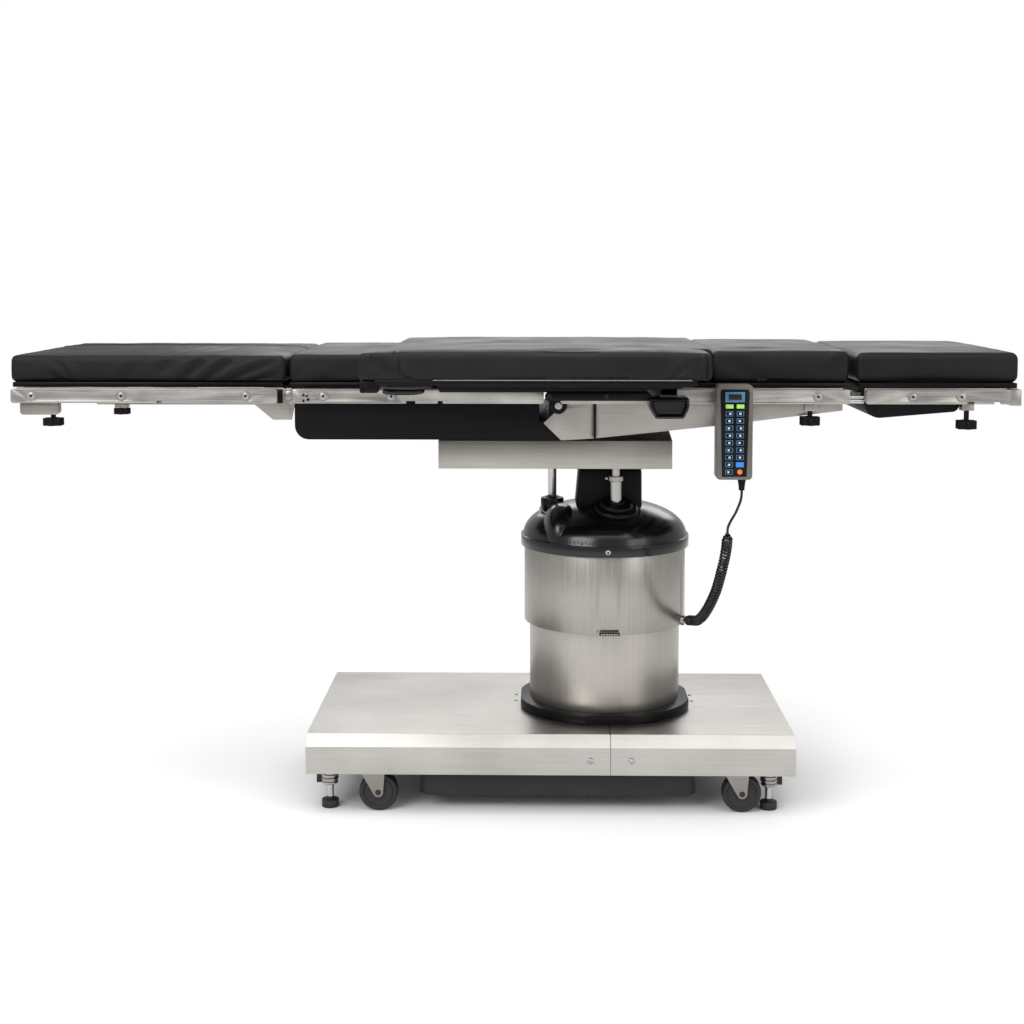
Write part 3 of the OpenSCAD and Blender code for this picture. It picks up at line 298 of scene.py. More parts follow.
def remap(nodes, low, high):
    node = nodes.new("ShaderNodeMapRange")
    node.inputs["From Min"].default_value, node.inputs["From Max"].default_value = noiseRange
    setInput(node, "To Min", low)
    setInput(node, "To Max", high)
    return node


def bumpFrom(nodes, links, shader, source, strength, distance):
    bump = nodes.new("ShaderNodeBump")
    setInput(bump, "Strength", strength)
    setInput(bump, "Distance", distance)
    links.new(source, bump.inputs["Height"])
    join(links, bump, "Normal", shader, "Normal")


grainShare, grainBump, grainDepth, pebbleDepth = 0.45, 0.25, 0.0002, 0.0004


def brushedSteel(name, dark, light, stretch, rough, cloudScale):
    material, shader, nodes, links = newMaterial(name, metallic=1.0)
    group = nodes.new("ShaderNodeGroup")
    group.node_tree = brushedGrain
    setInput(group, "Stretch", stretch)
    setInput(group, "Cloud Scale", cloudScale)
    tone = ramp(nodes, dark, light)
    mixed = mathNode(nodes, "MULTIPLY_ADD", grainShare)
    clouded = mathNode(nodes, "MULTIPLY", 1 - grainShare)
    join(links, group, "Cloud", clouded, 0)
    join(links, group, "Grain", mixed, 0)
    join(links, clouded, "Value", mixed, 2)
    join(links, mixed, "Value", tone, "Fac")
    join(links, tone, "Color", shader, "Base Color")
    roughness = remap(nodes, *rough)
    join(links, group, "Grain", roughness, "Value")
    join(links, roughness, "Result", shader, "Roughness")
    bumpFrom(nodes, links, shader, group.outputs["Grain"], grainBump, grainDepth)
    return material


def darkCoat(name, dark, light, rough, scale, coat=0.0, bump=0.15, specular=0.5):
    material, shader, nodes, links = newMaterial(name, coat=coat, specular=specular)
    group = nodes.new("ShaderNodeGroup")
    group.node_tree = vinylPebble
    setInput(group, "Pebble Scale", scale)
    tone = ramp(nodes, dark, light)
    join(links, group, "Patch", tone, "Fac")
    join(links, tone, "Color", shader, "Base Color")
    roughness = remap(nodes, *rough)
    join(links, group, "Patch", roughness, "Value")
    join(links, roughness, "Result", shader, "Roughness")
    bumpFrom(nodes, links, shader, group.outputs["Pebble"], bump, pebbleDepth)
    return material


# Steels: dark tone, light tone, stretch of the grain, roughness, scale of the clouds
steelFinishes = {
    "coverSteel": ((0.33, 0.315, 0.295), (0.50, 0.485, 0.46), (5, 700, 700), (0.26, 0.40), 5.0),
    "shroudSteel": ((0.255, 0.24, 0.22), (0.40, 0.38, 0.353), (700, 700, 5), (0.28, 0.42), 5.0),
    "lowerSteel": ((0.34, 0.32, 0.294), (0.50, 0.475, 0.44), (700, 700, 5), (0.30, 0.44), 5.0),
    "saddleSteel": ((0.27, 0.255, 0.233), (0.40, 0.38, 0.353), (6, 700, 700), (0.30, 0.42), 7.0),
    "railSteel": ((0.235, 0.222, 0.205), (0.43, 0.41, 0.385), (9, 600, 600), (0.26, 0.40), 16.0),
    "plateSteel": ((0.22, 0.208, 0.19), (0.34, 0.322, 0.30), (8, 500, 500), (0.30, 0.44), 9.0),
    "rodSteel": ((0.36, 0.35, 0.335), (0.52, 0.51, 0.495), (400, 400, 12), (0.26, 0.36), 5.0),
    "boltSteel": ((0.28, 0.27, 0.26), (0.48, 0.47, 0.455), (300, 300, 300), (0.25, 0.4), 40.0),
}
# Coats: dark tone, light tone, roughness, scale of the pebble, then coat, bump and specular where set
coatFinishes = {
    "blackVinyl": (
        (0.0075, 0.0075, 0.0078), (0.0115, 0.0115, 0.012), (0.44, 0.56), 1100.0, 0.0, 0.12, 0.12,
    ),
    "domeGloss": (
        (0.0015, 0.0015, 0.0015), (0.003, 0.003, 0.003), (0.17, 0.26), 500.0, 0.0, 0.02, 0.42,
    ),
    "mattBlack": (
        (0.0025, 0.0025, 0.0025), (0.005, 0.005, 0.005), (0.45, 0.6), 700.0, 0.0, 0.15, 0.1,
    ),
    "satinBlack": (
        (0.0012, 0.0012, 0.0012), (0.0025, 0.0025, 0.0025), (0.28, 0.38), 900.0, 0.0, 0.05, 0.15,
    ),
    "darkPaint": (
        (0.014, 0.014, 0.0148), (0.021, 0.021, 0.0222), (0.45, 0.58), 600.0, 0.0, 0.15, 0.3,
    ),
    "tyreRubber": ((0.008, 0.008, 0.008), (0.014, 0.014, 0.014), (0.5, 0.7), 900.0),
    "cordRubber": ((0.003, 0.003, 0.003), (0.006, 0.006, 0.006), (0.28, 0.4), 900.0, 0.0, 0.05, 0.35),
    "handsetShell": ((0.075, 0.067, 0.059), (0.11, 0.099, 0.088), (0.32, 0.42), 900.0, 0.2, 0.03),
    "keyRim": ((0.03, 0.11, 0.22), (0.05, 0.18, 0.32), (0.35, 0.5), 900.0),
    "keyMark": ((0.34, 0.44, 0.52), (0.50, 0.60, 0.66), (0.4, 0.5), 900.0),
    "keyGreen": ((0.28, 0.55, 0.08), (0.36, 0.66, 0.12), (0.4, 0.5), 900.0),
    "keyBlue": ((0.01, 0.16, 0.60), (0.02, 0.22, 0.70), (0.35, 0.45), 900.0),
    "keyOrange": ((0.75, 0.13, 0.02), (0.85, 0.18, 0.03), (0.35, 0.45), 900.0),
}
finishes = {name: brushedSteel(name, *values) for name, values in steelFinishes.items()}
for name, values in coatFinishes.items():
    finishes[name] = darkCoat(name, *values)
print("materials made:", len(finishes))


# Pieces
def addPiece(name, mesh, body, finish):
    piece = addObject(name, mesh)
    mesh.materials.clear()
    mesh.materials.append(finishes[finish])
    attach(piece, body)
    return piece


def smoothSharp(bm, degrees):
    limit = math.radians(degrees)
    for face in bm.faces:
        face.smooth = True
    for edge in bm.edges:
        if len(edge.link_faces) == 2:
            edge.smooth = edge.calc_face_angle(0) < limit
        else:
            edge.smooth = False


def easeEdges(bm, edges, width, segments, clamp=True, slide=False):
    bmesh.ops.bevel(
        bm, geom=edges, offset=width * mm, offset_type="OFFSET", affect="EDGES",
        segments=segments, profile=0.5, material=-1, clamp_overlap=clamp, loop_slide=slide,
    )


def pieceFrom(bm, name, body, finish, degrees=32):
    smoothSharp(bm, degrees)
    mesh = bpy.data.meshes.new(name)
    bm.to_mesh(mesh)
    bm.free()
    return addPiece(name, mesh, body, finish)


bodyOf = {}
for bodyName, members in record["behaviour"]["bodies"].items():
    for member in members:
        bodyOf[member] = bodyName


dressSettings = {"merge": 0.00001, "flat": math.radians(0.6), "sharp": math.radians(28), "segments": 2}


def dressNode(node, finish, width, reshape=None, crease=32):  # a copy of a node's mesh, edges eased
    settings = dressSettings
    bm = bmesh.new()
    bm.from_mesh(frame["nodes"][node].data)
    bmesh.ops.remove_doubles(bm, verts=bm.verts[:], dist=settings["merge"])
    bmesh.ops.dissolve_limit(bm, angle_limit=settings["flat"], verts=bm.verts[:], edges=bm.edges[:])
    if reshape:
        reshape(bm)
    if width > 0:
        edges = [
            e for e in bm.edges
            if len(e.link_faces) == 2 and e.calc_face_angle(0) > settings["sharp"]
        ]
        easeEdges(bm, edges, width, settings["segments"], slide=True)
    piece = pieceFrom(bm, node + "_skin", bodyOf[node], finish, crease)
    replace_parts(piece, node)


# What each construction node is finished in, and how far its edges are eased
nodeFinishes = {
    "base_frame": ("darkPaint", 0),
    "battery_box": ("darkPaint", 5),
    "column_collar": ("satinBlack", 4),
    "lock_housings": ("darkPaint", 0.8),
    "lock_feet": ("tyreRubber", 1.5),
    "column_tube": ("boltSteel", 0),
    "lower_shroud": ("lowerSteel", 0.6),
    "middle_shroud": ("shroudSteel", 0.4),
    "upper_shroud": ("shroudSteel", 0.6),
    "dome_cover": ("domeGloss", 1.2),
    "lift_mast": ("boltSteel", 0),
    "trend_rod": ("rodSteel", 0.8),
    "gimbal_cross": ("boltSteel", 0),
    "saddle_cover": ("saddleSteel", 3.5),
    "seat_frame": ("boltSteel", 0),
    "seat_tub": ("mattBlack", 1.5),
    "seat_rails": ("railSteel", 0.4),
    "back_rails": ("railSteel", 0.4),
    "head_rails": ("railSteel", 0.4),
    "leg_rails": ("railSteel", 0.4),
    "seat_deck": ("satinBlack", 1),
    "back_deck": ("satinBlack", 1),
    "leg_deck": ("satinBlack", 1),
    "back_frame": ("plateSteel", 0.8),
    "head_frame": ("plateSteel", 0.8),
    "leg_frame": ("plateSteel", 0.8),
    "head_tray": ("mattBlack", 2),
    "back_knob": ("mattBlack", 2),
    "head_knob": ("mattBlack", 2),
    "leg_knob_end": ("mattBlack", 2),
    "leg_knob_mid": ("mattBlack", 2),
    "pendant_shell": ("handsetShell", 1.5),
}
for letter in "abcd":
    nodeFinishes["caster_fork_" + letter] = ("plateSteel", 0.6)
    nodeFinishes["caster_wheel_" + letter] = ("tyreRubber", 1.5)

for node, (finish, width) in nodeFinishes.items():
    dressNode(node, finish, width)
print("frame nodes dressed:", len(nodeFinishes))


# Building helpers: all their sizes are in millimetres, and y counts from the centre plane
def lathe(bm, profile, centre, axis, steps):  # profile points are (radius, height)
    axis = Vector(axis).normalized()
    side = axis.orthogonal().normalized()
    made = [bm.verts.new(Vector(centre) + side * r * mm + axis * h * mm) for r, h in profile]
    edges = [bm.edges.new(pair) for pair in zip(made, made[1:])]
    bmesh.ops.spin(
        bm, geom=made + edges, cent=centre, axis=axis, angle=math.tau, steps=steps, use_merge=True,
    )
    bmesh.ops.remove_doubles(bm, verts=bm.verts[:], dist=0.00002)


def edgesOf(verts):
    return list({e for v in verts for e in v.link_edges})


def addBox(bm, low, high, ease=0.0, segments=2):
    low, high = at(*low), at(*high)
    place = Matrix.Translation((low + high) / 2) @ Matrix.Diagonal((*(high - low), 1))
    made = bmesh.ops.create_cube(bm, size=1, matrix=place)["verts"]
    if ease > 0:
        easeEdges(bm, edgesOf(made), ease, segments)


def boxBothWays(bm, low, high, ease):
    addBox(bm, low, high, ease)
    addBox(bm, (low[0], -high[1], low[2]), (high[0], -low[1], high[2]), ease)


def prism(bm, corners, run, ease, segments):
    front = [bm.verts.new(corner) for corner in corners]
    moved = bmesh.ops.extrude_face_region(bm, geom=[bm.faces.new(front)])["geom"]
    back = [v for v in moved if isinstance(v, bmesh.types.BMVert)]
    bmesh.ops.translate(bm, verts=back, vec=run)
    if ease > 0:
        easeEdges(bm, edgesOf(front + back), ease, segments)


def prismAlongY(bm, outline, y0, y1, ease, segments):  # outline points are (x, z)
    prism(bm, [at(x, y0, z) for x, z in outline], (0, (y1 - y0) * mm, 0), ease, segments)


def prismAlongX(bm, outline, x0, x1):  # outline points are (y, z)
    prism(bm, [at(x0, y, z) for y, z in outline], ((x1 - x0) * mm, 0, 0), 0, 0)


def closePiece(bm, name, body, finish, degrees=32):
    bmesh.ops.recalc_face_normals(bm, faces=bm.faces[:])
    return pieceFrom(bm, name, body, finish, degrees)


def bothWays(y):  # the near side and the far side of the table
    return [(-1, -y), (1, y)]


def smoothStep(low, high, value):
    t = min(1, max(0, (value - low) / (high - low)))
    return t * t * (3 - 2 * t)


# Pads: rounded blocks with a crowned top, soft folds and sewn seams
# A fold is (face, start along, start up, end along, end up, width, depth), the four places as shares
padSettings = {
    "leg_pad": {
        "cell": 4.0, "edge": 9, "crown": 5, "sag": 1.5, "ripple": 0.9,
        "folds": [
            ("front", 0.62, 0.05, 0.72, 0.85, 9, 2.6), ("front", 0.70, 0.0, 0.82, 0.9, 8, 2.2),
            ("front", 0.80, 0.1, 0.97, 0.75, 7, 2.4), ("front", 0.88, 0.0, 0.99, 0.35, 8, 2.0),
            ("front", 0.13, 0.3, 0.20, 0.0, 8, 2.4), ("front", 0.17, 0.75, 0.22, 0.05, 7, 1.8),
            ("front", 0.40, 0.1, 0.47, 0.55, 10, 1.2), ("front", 0.52, 0.2, 0.60, 0.8, 10, 1.4),
            ("top", 0.50, 0.12, 0.60, 0.6, 12, 2.0), ("top", 0.58, 0.10, 0.70, 0.6, 11, 2.2),
            ("top", 0.66, 0.08, 0.78, 0.6, 12, 1.8), ("top", 0.0, 0.655, 1.0, 0.655, 4, 3.2),
        ],
    },
    "seat_pad": {
        "cell": 5.0, "edge": 8, "crown": 4, "sag": 1.0, "ripple": 0.5,
        "folds": [("front", 0.03, 0.05, 0.12, 0.5, 8, 1.4), ("front", 0.3, 0.0, 0.45, 0.2, 9, 1.2)],
    },
    "centre_pad": {
        "cell": 4.5, "edge": 9, "crown": 6, "sag": 1.0, "ripple": 0.7,
        "folds": [("front", 0.1, 0.0, 0.3, 0.4, 12, 1.5), ("top", 0.2, 0.1, 0.45, 0.5, 22, 1.2)],
    },
    "back_pad": {
        "cell": 4.0, "edge": 10, "crown": 5, "sag": 2.2, "ripple": 1.0,
        "folds": [
            ("front", 0.80, 0.25, 0.99, 0.92, 7, 3.0), ("front", 0.86, 0.1, 0.99, 0.7, 8, 2.4),
            ("front", 0.05, 0.75, 0.3, 0.25, 16, 2.4), ("front", 0.25, 0.2, 0.6, 0.12, 14, 2.0),
            ("top", 0.1, 0.1, 0.7, 0.14, 14, 1.4),
        ],
    },
    "head_pad": {
        "cell": 5.0, "edge": 13, "crown": 4, "sag": 0.4, "ripple": 0.5,
        "folds": [("front", 0.2, 0.02, 0.7, 0.05, 12, 1.2), ("top", 0.2, 0.2, 0.9, 0.3, 25, 1.0)],
    },
    "arm_pad": {
        "cell": 2.6, "edge": 9, "crown": 7, "sag": 1.2, "ripple": 0.6,
        "folds": [
            ("front", 0.118, 0.15, 0.116, 1.0, 2.4, 2.8), ("front", 0.118, 0.25, 0.158, 0.0, 2.6, 2.8),
            ("front", 0.03, 0.85, 0.11, 0.30, 8, 3.0), ("front", 0.05, 0.5, 0.13, 0.05, 7, 2.6),
            ("front", 0.02, 0.25, 0.06, 0.05, 5, 2.0), ("front", 0.985, 0.0, 0.985, 1.0, 2.2, 2.4),
            ("front", 0.88, 0.02, 0.935, 0.55, 6, 2.6), ("front", 0.3, 0.06, 0.85, 0.08, 7, 1.2),
            ("front", 0.55, 0.5, 0.65, 0.9, 14, 0.9), ("top", 0.11, 0.0, 0.11, 1.0, 2.4, 2.0),
            ("top", 0.5, 0.1, 0.75, 0.25, 18, 1.2),
        ],
    },
}
cellAcross = 9.0
cellUp = 4.0
padLift = 4.5
padSegments = 5
padSmoothing = 70


def padBox(name):
    if name == "centre_pad":
        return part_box("centre_pad_seat")[0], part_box("centre_pad_back")[1]
    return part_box(name)


def cutInCells(bm, low, high, cellAlong):
    for axis, cell in ((0, cellAlong), (1, cellAcross), (2, cellUp)):
        count = max(2, round((high[axis] - low[axis]) / (cell * mm)))
        normal = Vector((axis == 0, axis == 1, axis == 2))
        for i in range(1, count):
            place = normal * (low[axis] + (high[axis] - low[axis]) * i / count)
            bmesh.ops.bisect_plane(
                bm, geom=bm.verts[:] + bm.edges[:] + bm.faces[:], plane_co=place, plane_no=normal,
                dist=0.00001,
            )


def foldDepth(fold, along, up, lengths):  # how far a fold presses a point in, in millimetres
    _, a0, u0, a1, u1, width, depth = fold
    start = Vector((a0 * lengths[0], u0 * lengths[1]))
    end = Vector((a1 * lengths[0], u1 * lengths[1]))
    point = Vector((along * lengths[0], up * lengths[1]))
    run = end - start
    t = min(1, max(0, (point - start).dot(run) / run.length_squared))
    gap = point - start - run * t
    side = gap.length * (1 if run.cross(gap) > 0 else -1)
    if abs(side) > 5 * width:
        return 0
    seam = run.length > 0.9 * min(lengths) and width < 5  # a seam keeps its depth to both ends
    fade = 1 if seam else 0.25 + 0.75 * math.sin(math.pi * t)
    pressed = math.exp(-((side / width) ** 2))
    raised = 0.55 * math.exp(-(((side - 1.9 * width) / width) ** 2))
    return 1.8 * depth * fade * (pressed - raised)


def shapePad(bm, low, high, settings):
    size = high - low
    lengths = {"front": (size.x / mm, size.z / mm), "top": (size.x / mm, size.y / mm)}
    moves = []
    for v in bm.verts:
        along = (v.co.x - low.x) / size.x
        across = (v.co.y - low.y) / size.y
        up = (v.co.z - low.z) / size.z
        n = v.normal
        flat = (1 - abs(2 * along - 1) ** 6) * (1 - abs(2 * across - 1) ** 4)
        topness = smoothStep(0.4, 1.0, up)
        move = Vector((0, 0, settings["crown"] * flat * topness + padLift * up))
        front, top = max(0, -n.y), max(0, n.z)
        inward = 0
        for fold in settings["folds"]:
            share, upward = (front, up) if fold[0] == "front" else (top, across)
            if share > 0.1:
                pressed = foldDepth(fold, along, upward, lengths[fold[0]])
                inward += smoothStep(0.1, 0.75, share) * pressed
        soft = noise.noise(Vector((v.co.x * 14, v.co.y * 14, v.co.z * 26)))
        fine = noise.noise(Vector((v.co.x * 45 + v.co.z * 60, v.co.y * 45, v.co.z * 40)))
        rise = settings["ripple"] * (soft + 0.35 * fine) * (1 if n.z > -0.5 else 0)
        belly = settings["sag"] * math.sin(math.pi * min(1, up)) * (1 - abs(n.z))
        moves.append((v, move + n * (rise + belly - inward)))
    for v, move in moves:
        v.co += move * mm


def makePad(name, settings):
    low, high = padBox(name)
    place = Matrix.Translation((high + low) / 2) @ Matrix.Diagonal((*(high - low), 1))
    bm = bmesh.new()
    bmesh.ops.create_cube(bm, size=1, matrix=place)
    easeEdges(bm, bm.edges[:], settings["edge"], padSegments, clamp=False)
    cutInCells(bm, low, high, settings["cell"])
    bm.normal_update()
    shapePad(bm, low, high, settings)
    smoothSharp(bm, padSmoothing)
    mesh = bpy.data.meshes.new(name + "_cushion")
    bm.to_mesh(mesh)
    bm.free()
    if name == "centre_pad":
        pad = addObject("centre_pad_cushion", mesh)
        mesh.materials.append(finishes["blackVinyl"])
        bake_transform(pad)
        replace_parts(pad, "centre_pad_seat", "centre_pad_flex", "centre_pad_back")
    else:
        pad = addPiece(name + "_cushion", mesh, bodyOf[name], "blackVinyl")
        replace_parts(pad, name)


for padName, settings in padSettings.items():
    makePad(padName, settings)
print("pads made")

# Places shared by the small pieces, in millimetres from the table's centre
railLow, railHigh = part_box("seat_rails")
railOut = (railHigh.y - centreY) / mm
railMid = (railLow.z + railHigh.z) / 2 / mm
turning = ("back_lift", "leg_lift", "lateral_tilt")
jointPlace = {j["name"]: Vector(j["pos_m"]) for j in frame["joints"] if j["name"] in turning}
backHinge, legHinge = jointPlace["back_lift"], jointPlace["leg_lift"]
columnX = jointPlace["lateral_tilt"].x / mm

# Bolt heads on the rails: a washer, a domed head and a black hexagon as painted shade in the socket
boltSettings = {
    "head": [
        (0, 0.4), (2.3, 0.4), (2.7, 1.9), (4.8, 2.2), (6.3, 1.7),
        (7.0, 0.5), (8.3, 0.5), (8.8, 1.1), (9.8, 1.1), (10.3, 0),
    ],
    "socket": [(0, 0.9), (2.2, 0.9), (2.2, 0)],
    "leg": (-948, -770, -524),
    "seat": (-371, -237),
    "back": (599,),
    "head_section": (783, 878),
}


def makeBolts(settings):
    for body, key in (("leg", "leg"), ("seat", "seat"), ("back", "back"), ("head", "head_section")):
        heads, socketShades = bmesh.new(), bmesh.new()
        for x in settings[key]:
            for side, y in bothWays(railOut):
                lathe(heads, settings["head"], at(x, y, railMid), (0, side, 0), 32)
                # a flat black hexagon on each head: painted shade standing in for the socket's hollow
                lathe(socketShades, settings["socket"], at(x, y + side * 0.1, railMid), (0, side, 0), 6)
        closePiece(heads, body + "_rail_bolts", body, "boltSteel")
        closePiece(socketShades, body + "_rail_socket_shade", body, "mattBlack")


makeBolts(boltSettings)

# Hinges of the back: a bright pin inside a black ring; the leg hinge has a plain steel cap
hingeSettings = {
    "capY": 264.2,
    "pin": [(0, 11.4), (5.2, 11.4), (6.2, 10.6), (6.2, 9.4), (7.4, 9.0), (7.4, 0)],
    "ring": [(7.4, 9.6), (14.5, 9.6), (16.4, 8.4), (16.4, 0)],
    "legCap": [(0, 5.2), (8.4, 5.2), (9.4, 4.6), (9.4, 0)],
}


def makeHinges(settings):
    pins, rings, caps = bmesh.new(), bmesh.new(), bmesh.new()
    for side, y in bothWays(settings["capY"]):
        centre = at(backHinge.x / mm, y, backHinge.z / mm)
        lathe(pins, settings["pin"], centre, (0, side, 0), 32)
        lathe(rings, settings["ring"], centre, (0, side, 0), 40)
        lathe(caps, settings["legCap"], at(legHinge.x / mm, y, legHinge.z / mm), (0, side, 0), 32)
    closePiece(pins, "back_hinge_pins", "seat", "rodSteel")
    closePiece(rings, "back_hinge_rings", "back", "satinBlack")
    closePiece(caps, "leg_hinge_caps", "leg", "plateSteel")


makeHinges(hingeSettings)
print("bolts and hinges made")

# Dome details: the boss around the foot-side rod, and the rim's screw
domeSettings = {
    "bossSteps": 14,
    "bossCentre": (99, -58),
    "bossHalf": (40, 84),
    "bossLow": 532,
    "bossHigh": 77,
    "bossPower": 2.5,
    "bossPlan": 2.2,
    "domeLow": 530,
    "domeHigh": 80,
    "domeRadius": 176,
    "domePower": 2.3,
    "skin": 1.5,
    "rimRadius": 178.5,
    "screwZ": 526,
    "screwY": -180.2,
    "screw": [(0, 0.6), (2.0, 0.6), (2.2, 2.2), (4.4, 2.6), (5.6, 1.6), (5.8, 0)],
}


def makeDomeDetails(settings):
    power, steps = settings["bossPower"], settings["bossSteps"]
    turns = [math.pi / 2 * i / steps for i in range(steps + 1)]
    shares = [(math.cos(t) ** (2 / power), math.sin(t) ** (2 / power)) for t in turns]
    profile = [(r / mm, h * settings["bossHigh"]) for r, h in shares]
    bm = bmesh.new()
    lathe(bm, profile, Vector((0, 0, 0)), (0, 0, 1), 72)
    axisPlace = at(columnX, 0, 0)
    plan = settings["bossPlan"]
    for v in bm.verts:
        reach = math.hypot(v.co.x, v.co.y)
        squarer = 1
        if reach > 0.001:
            squarer = (abs(v.co.x / reach) ** plan + abs(v.co.y / reach) ** plan) ** (-1 / plan)
        v.co = at(
            settings["bossCentre"][0] + v.co.x * squarer * settings["bossHalf"][0],
            settings["bossCentre"][1] + v.co.y * squarer * settings["bossHalf"][1],
            settings["bossLow"] + v.co.z / mm,
        )
        z = max(v.co.z / mm, settings["domeLow"])
        rise = min(1, (z - settings["domeLow"]) / settings["domeHigh"])
        skin = settings["domeRadius"] * (1 - rise ** settings["domePower"]) ** (1 / settings["domePower"])
        away = Vector((v.co.x - axisPlace.x, v.co.y - axisPlace.y))
        if away.length < (skin - settings["skin"]) * mm:
            v.co.z = settings["domeLow"] * mm + settings["domeHigh"] * mm * (
                1 - (away.length / (settings["domeRadius"] * mm)) ** settings["domePower"]
            ) ** (1 / settings["domePower"]) - settings["skin"] * mm
        if away.length > settings["rimRadius"] * mm:
            away *= settings["rimRadius"] * mm / away.length
            v.co.x, v.co.y = axisPlace.x + away.x, axisPlace.y + away.y
    closePiece(bm, "dome_boss", "column_head", "domeGloss", 60)
    bm = bmesh.new()
    lathe(bm, settings["screw"], at(columnX, settings["screwY"], settings["screwZ"]), (0, -1, 0), 32)
    closePiece(bm, "dome_screw", "column_head", "boltSteel")


makeDomeDetails(domeSettings)

# Hand control: tapered shell, black face, display and rows of keys
handsetSettings = {
    "face": [(-24, 6), (24, 6), (28.2, 170), (26, 176), (-26, 176), (-28.2, 170)],
    "display": {"low": (-19, 151), "high": (19, 171)},
    "screen": {"low": (-13, 155), "high": (13, 167)},
    "columns": (-10.5, 10.5),
    "rowPitch": 14.2,
    "firstRow": 129,
    "leftRows": 9,
    "rightRows": 7,
    "greenZ": 143,
    "blueRow": 7,
    "keyDepth": 2,
    "keys": {  # half size, height over the face, eased edge
        "rims": ((7.2, 5.0), 1.5, 0.8),
        "pads": ((6.0, 4.0), 1.8, 0.6),
        "marks": ((2.2, 2.0), 2.1, 0.4),
        "greens": ((7.5, 4), 1.8, 0.8),
        "blues": ((7.6, 5), 1.8, 0.8),
    },
    "orange": [(0, 1.8), (4.4, 1.8), (5.0, 1.2), (5.0, 0)],
    "layers": {  # piece and finish
        "rims": ("handset_rims", "keyRim"),
        "pads": ("handset_key_pads", "satinBlack"),
        "marks": ("handset_marks", "keyMark"),
        "greens": ("handset_green_keys", "keyGreen"),
        "blues": ("handset_blue_key", "keyBlue"),
        "oranges": ("handset_orange_key", "keyOrange"),
    },
}


def makeHandset(settings):
    shellLow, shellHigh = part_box("pendant_keys")
    middle = (shellLow.x + shellHigh.x) / 2 / mm
    faceY = (shellHigh.y - centreY) / mm
    foot = shellLow.z / mm - 12

    def plate(bm, low, high, out, ease):
        addBox(
            bm, (middle + low[0], faceY - out, foot + low[1]),
            (middle + high[0], faceY - out + settings["keyDepth"], foot + high[1]), ease,
        )

    def key(layer, x, z):
        half, out, ease = settings["keys"][layer]
        plate(layers[layer], (x - half[0], z - half[1]), (x + half[0], z + half[1]), out, ease)

    bm = bmesh.new()
    outline = [(middle + x, foot + z) for x, z in settings["face"]]
    prismAlongY(bm, outline, faceY - 0.6, faceY + 2, 0.5, 2)
    face = closePiece(bm, "handset_face", "back", "satinBlack")
    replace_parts(face, "pendant_keys")
    layers = {layer: bmesh.new() for layer in settings["layers"]}
    plate(layers["rims"], settings["display"]["low"], settings["display"]["high"], 1.5, 0.5)
    screen = bmesh.new()
    plate(screen, settings["screen"]["low"], settings["screen"]["high"], 1.7, 0.4)
    closePiece(screen, "handset_screen", "back", "domeGloss")
    pitch = settings["rowPitch"]
    for column, rows in zip(settings["columns"], (settings["leftRows"], settings["rightRows"])):
        key("greens", column, settings["greenZ"])
        for row in range(rows):
            z = settings["firstRow"] - row * pitch
            key("rims", column, z)
            key("pads", column, z)
            key("marks", column + ((row * 5 + int(column)) % 3 - 1) * 1.1, z)
    lowRow = settings["firstRow"] - settings["blueRow"] * pitch
    right = settings["columns"][1]
    key("blues", right, lowRow)
    orangePlace = at(middle + right, faceY, foot + lowRow - pitch)
    lathe(layers["oranges"], settings["orange"], orangePlace, (0, -1, 0), 24)
    for layer, (name, finish) in settings["layers"].items():
        closePiece(layers[layer], name, "back", finish)



makeHandset(handsetSettings)
print("dome details and hand control made")

# Covers of the base: folded sheets with a wide bevel along both long sides and straight ends
coverSettings = {
    "ease": 0.8,
    "crease": 8,
    "sheet": 2,
    "eave": 146,
    "top": 166,
    "endReach": 30,
    "ends": (-417, 570),
    "splitX": 198.15,
    "splitGap": 0.25,
    "seamX": (195, 201.5),
    "seam": [
        (-263.8, 88), (-263.8, 143), (-243.4, 163.8), (-185, 163.8),
        (-185, 162.8), (-243, 162.8), (-262.8, 142.6), (-262.8, 88),
    ],
}


def straightenEnds(bm, settings):
    top, foot, head = settings["top"] - 1, settings["ends"][0], settings["ends"][1]
    for v in bm.verts:
        x, z = v.co.x / mm, v.co.z / mm
        wall = 0 if z > top else settings["sheet"]
        if z > settings["eave"] and x < foot + settings["endReach"]:
            v.co.x = (foot + wall) * mm
        elif z > settings["eave"] and x > head - settings["endReach"]:
            v.co.x = (head - wall) * mm
        elif abs(x - settings["splitX"]) < 0.5:
            v.co.x += settings["splitGap"] * mm * (1 if x > settings["splitX"] else -1)


def makeCovers(settings):
    for node in ("base_cover_foot", "base_cover_head"):
        dressNode(
            node, "coverSteel", settings["ease"], lambda bm: straightenEnds(bm, settings),
            settings["crease"],
        )
    bm = bmesh.new()
    prismAlongX(bm, settings["seam"], *settings["seamX"])
    prismAlongX(bm, [(-y, z) for y, z in settings["seam"]], *settings["seamX"])
    closePiece(bm, "base_seam", "base", "mattBlack")


makeCovers(coverSettings)
print("covers made")

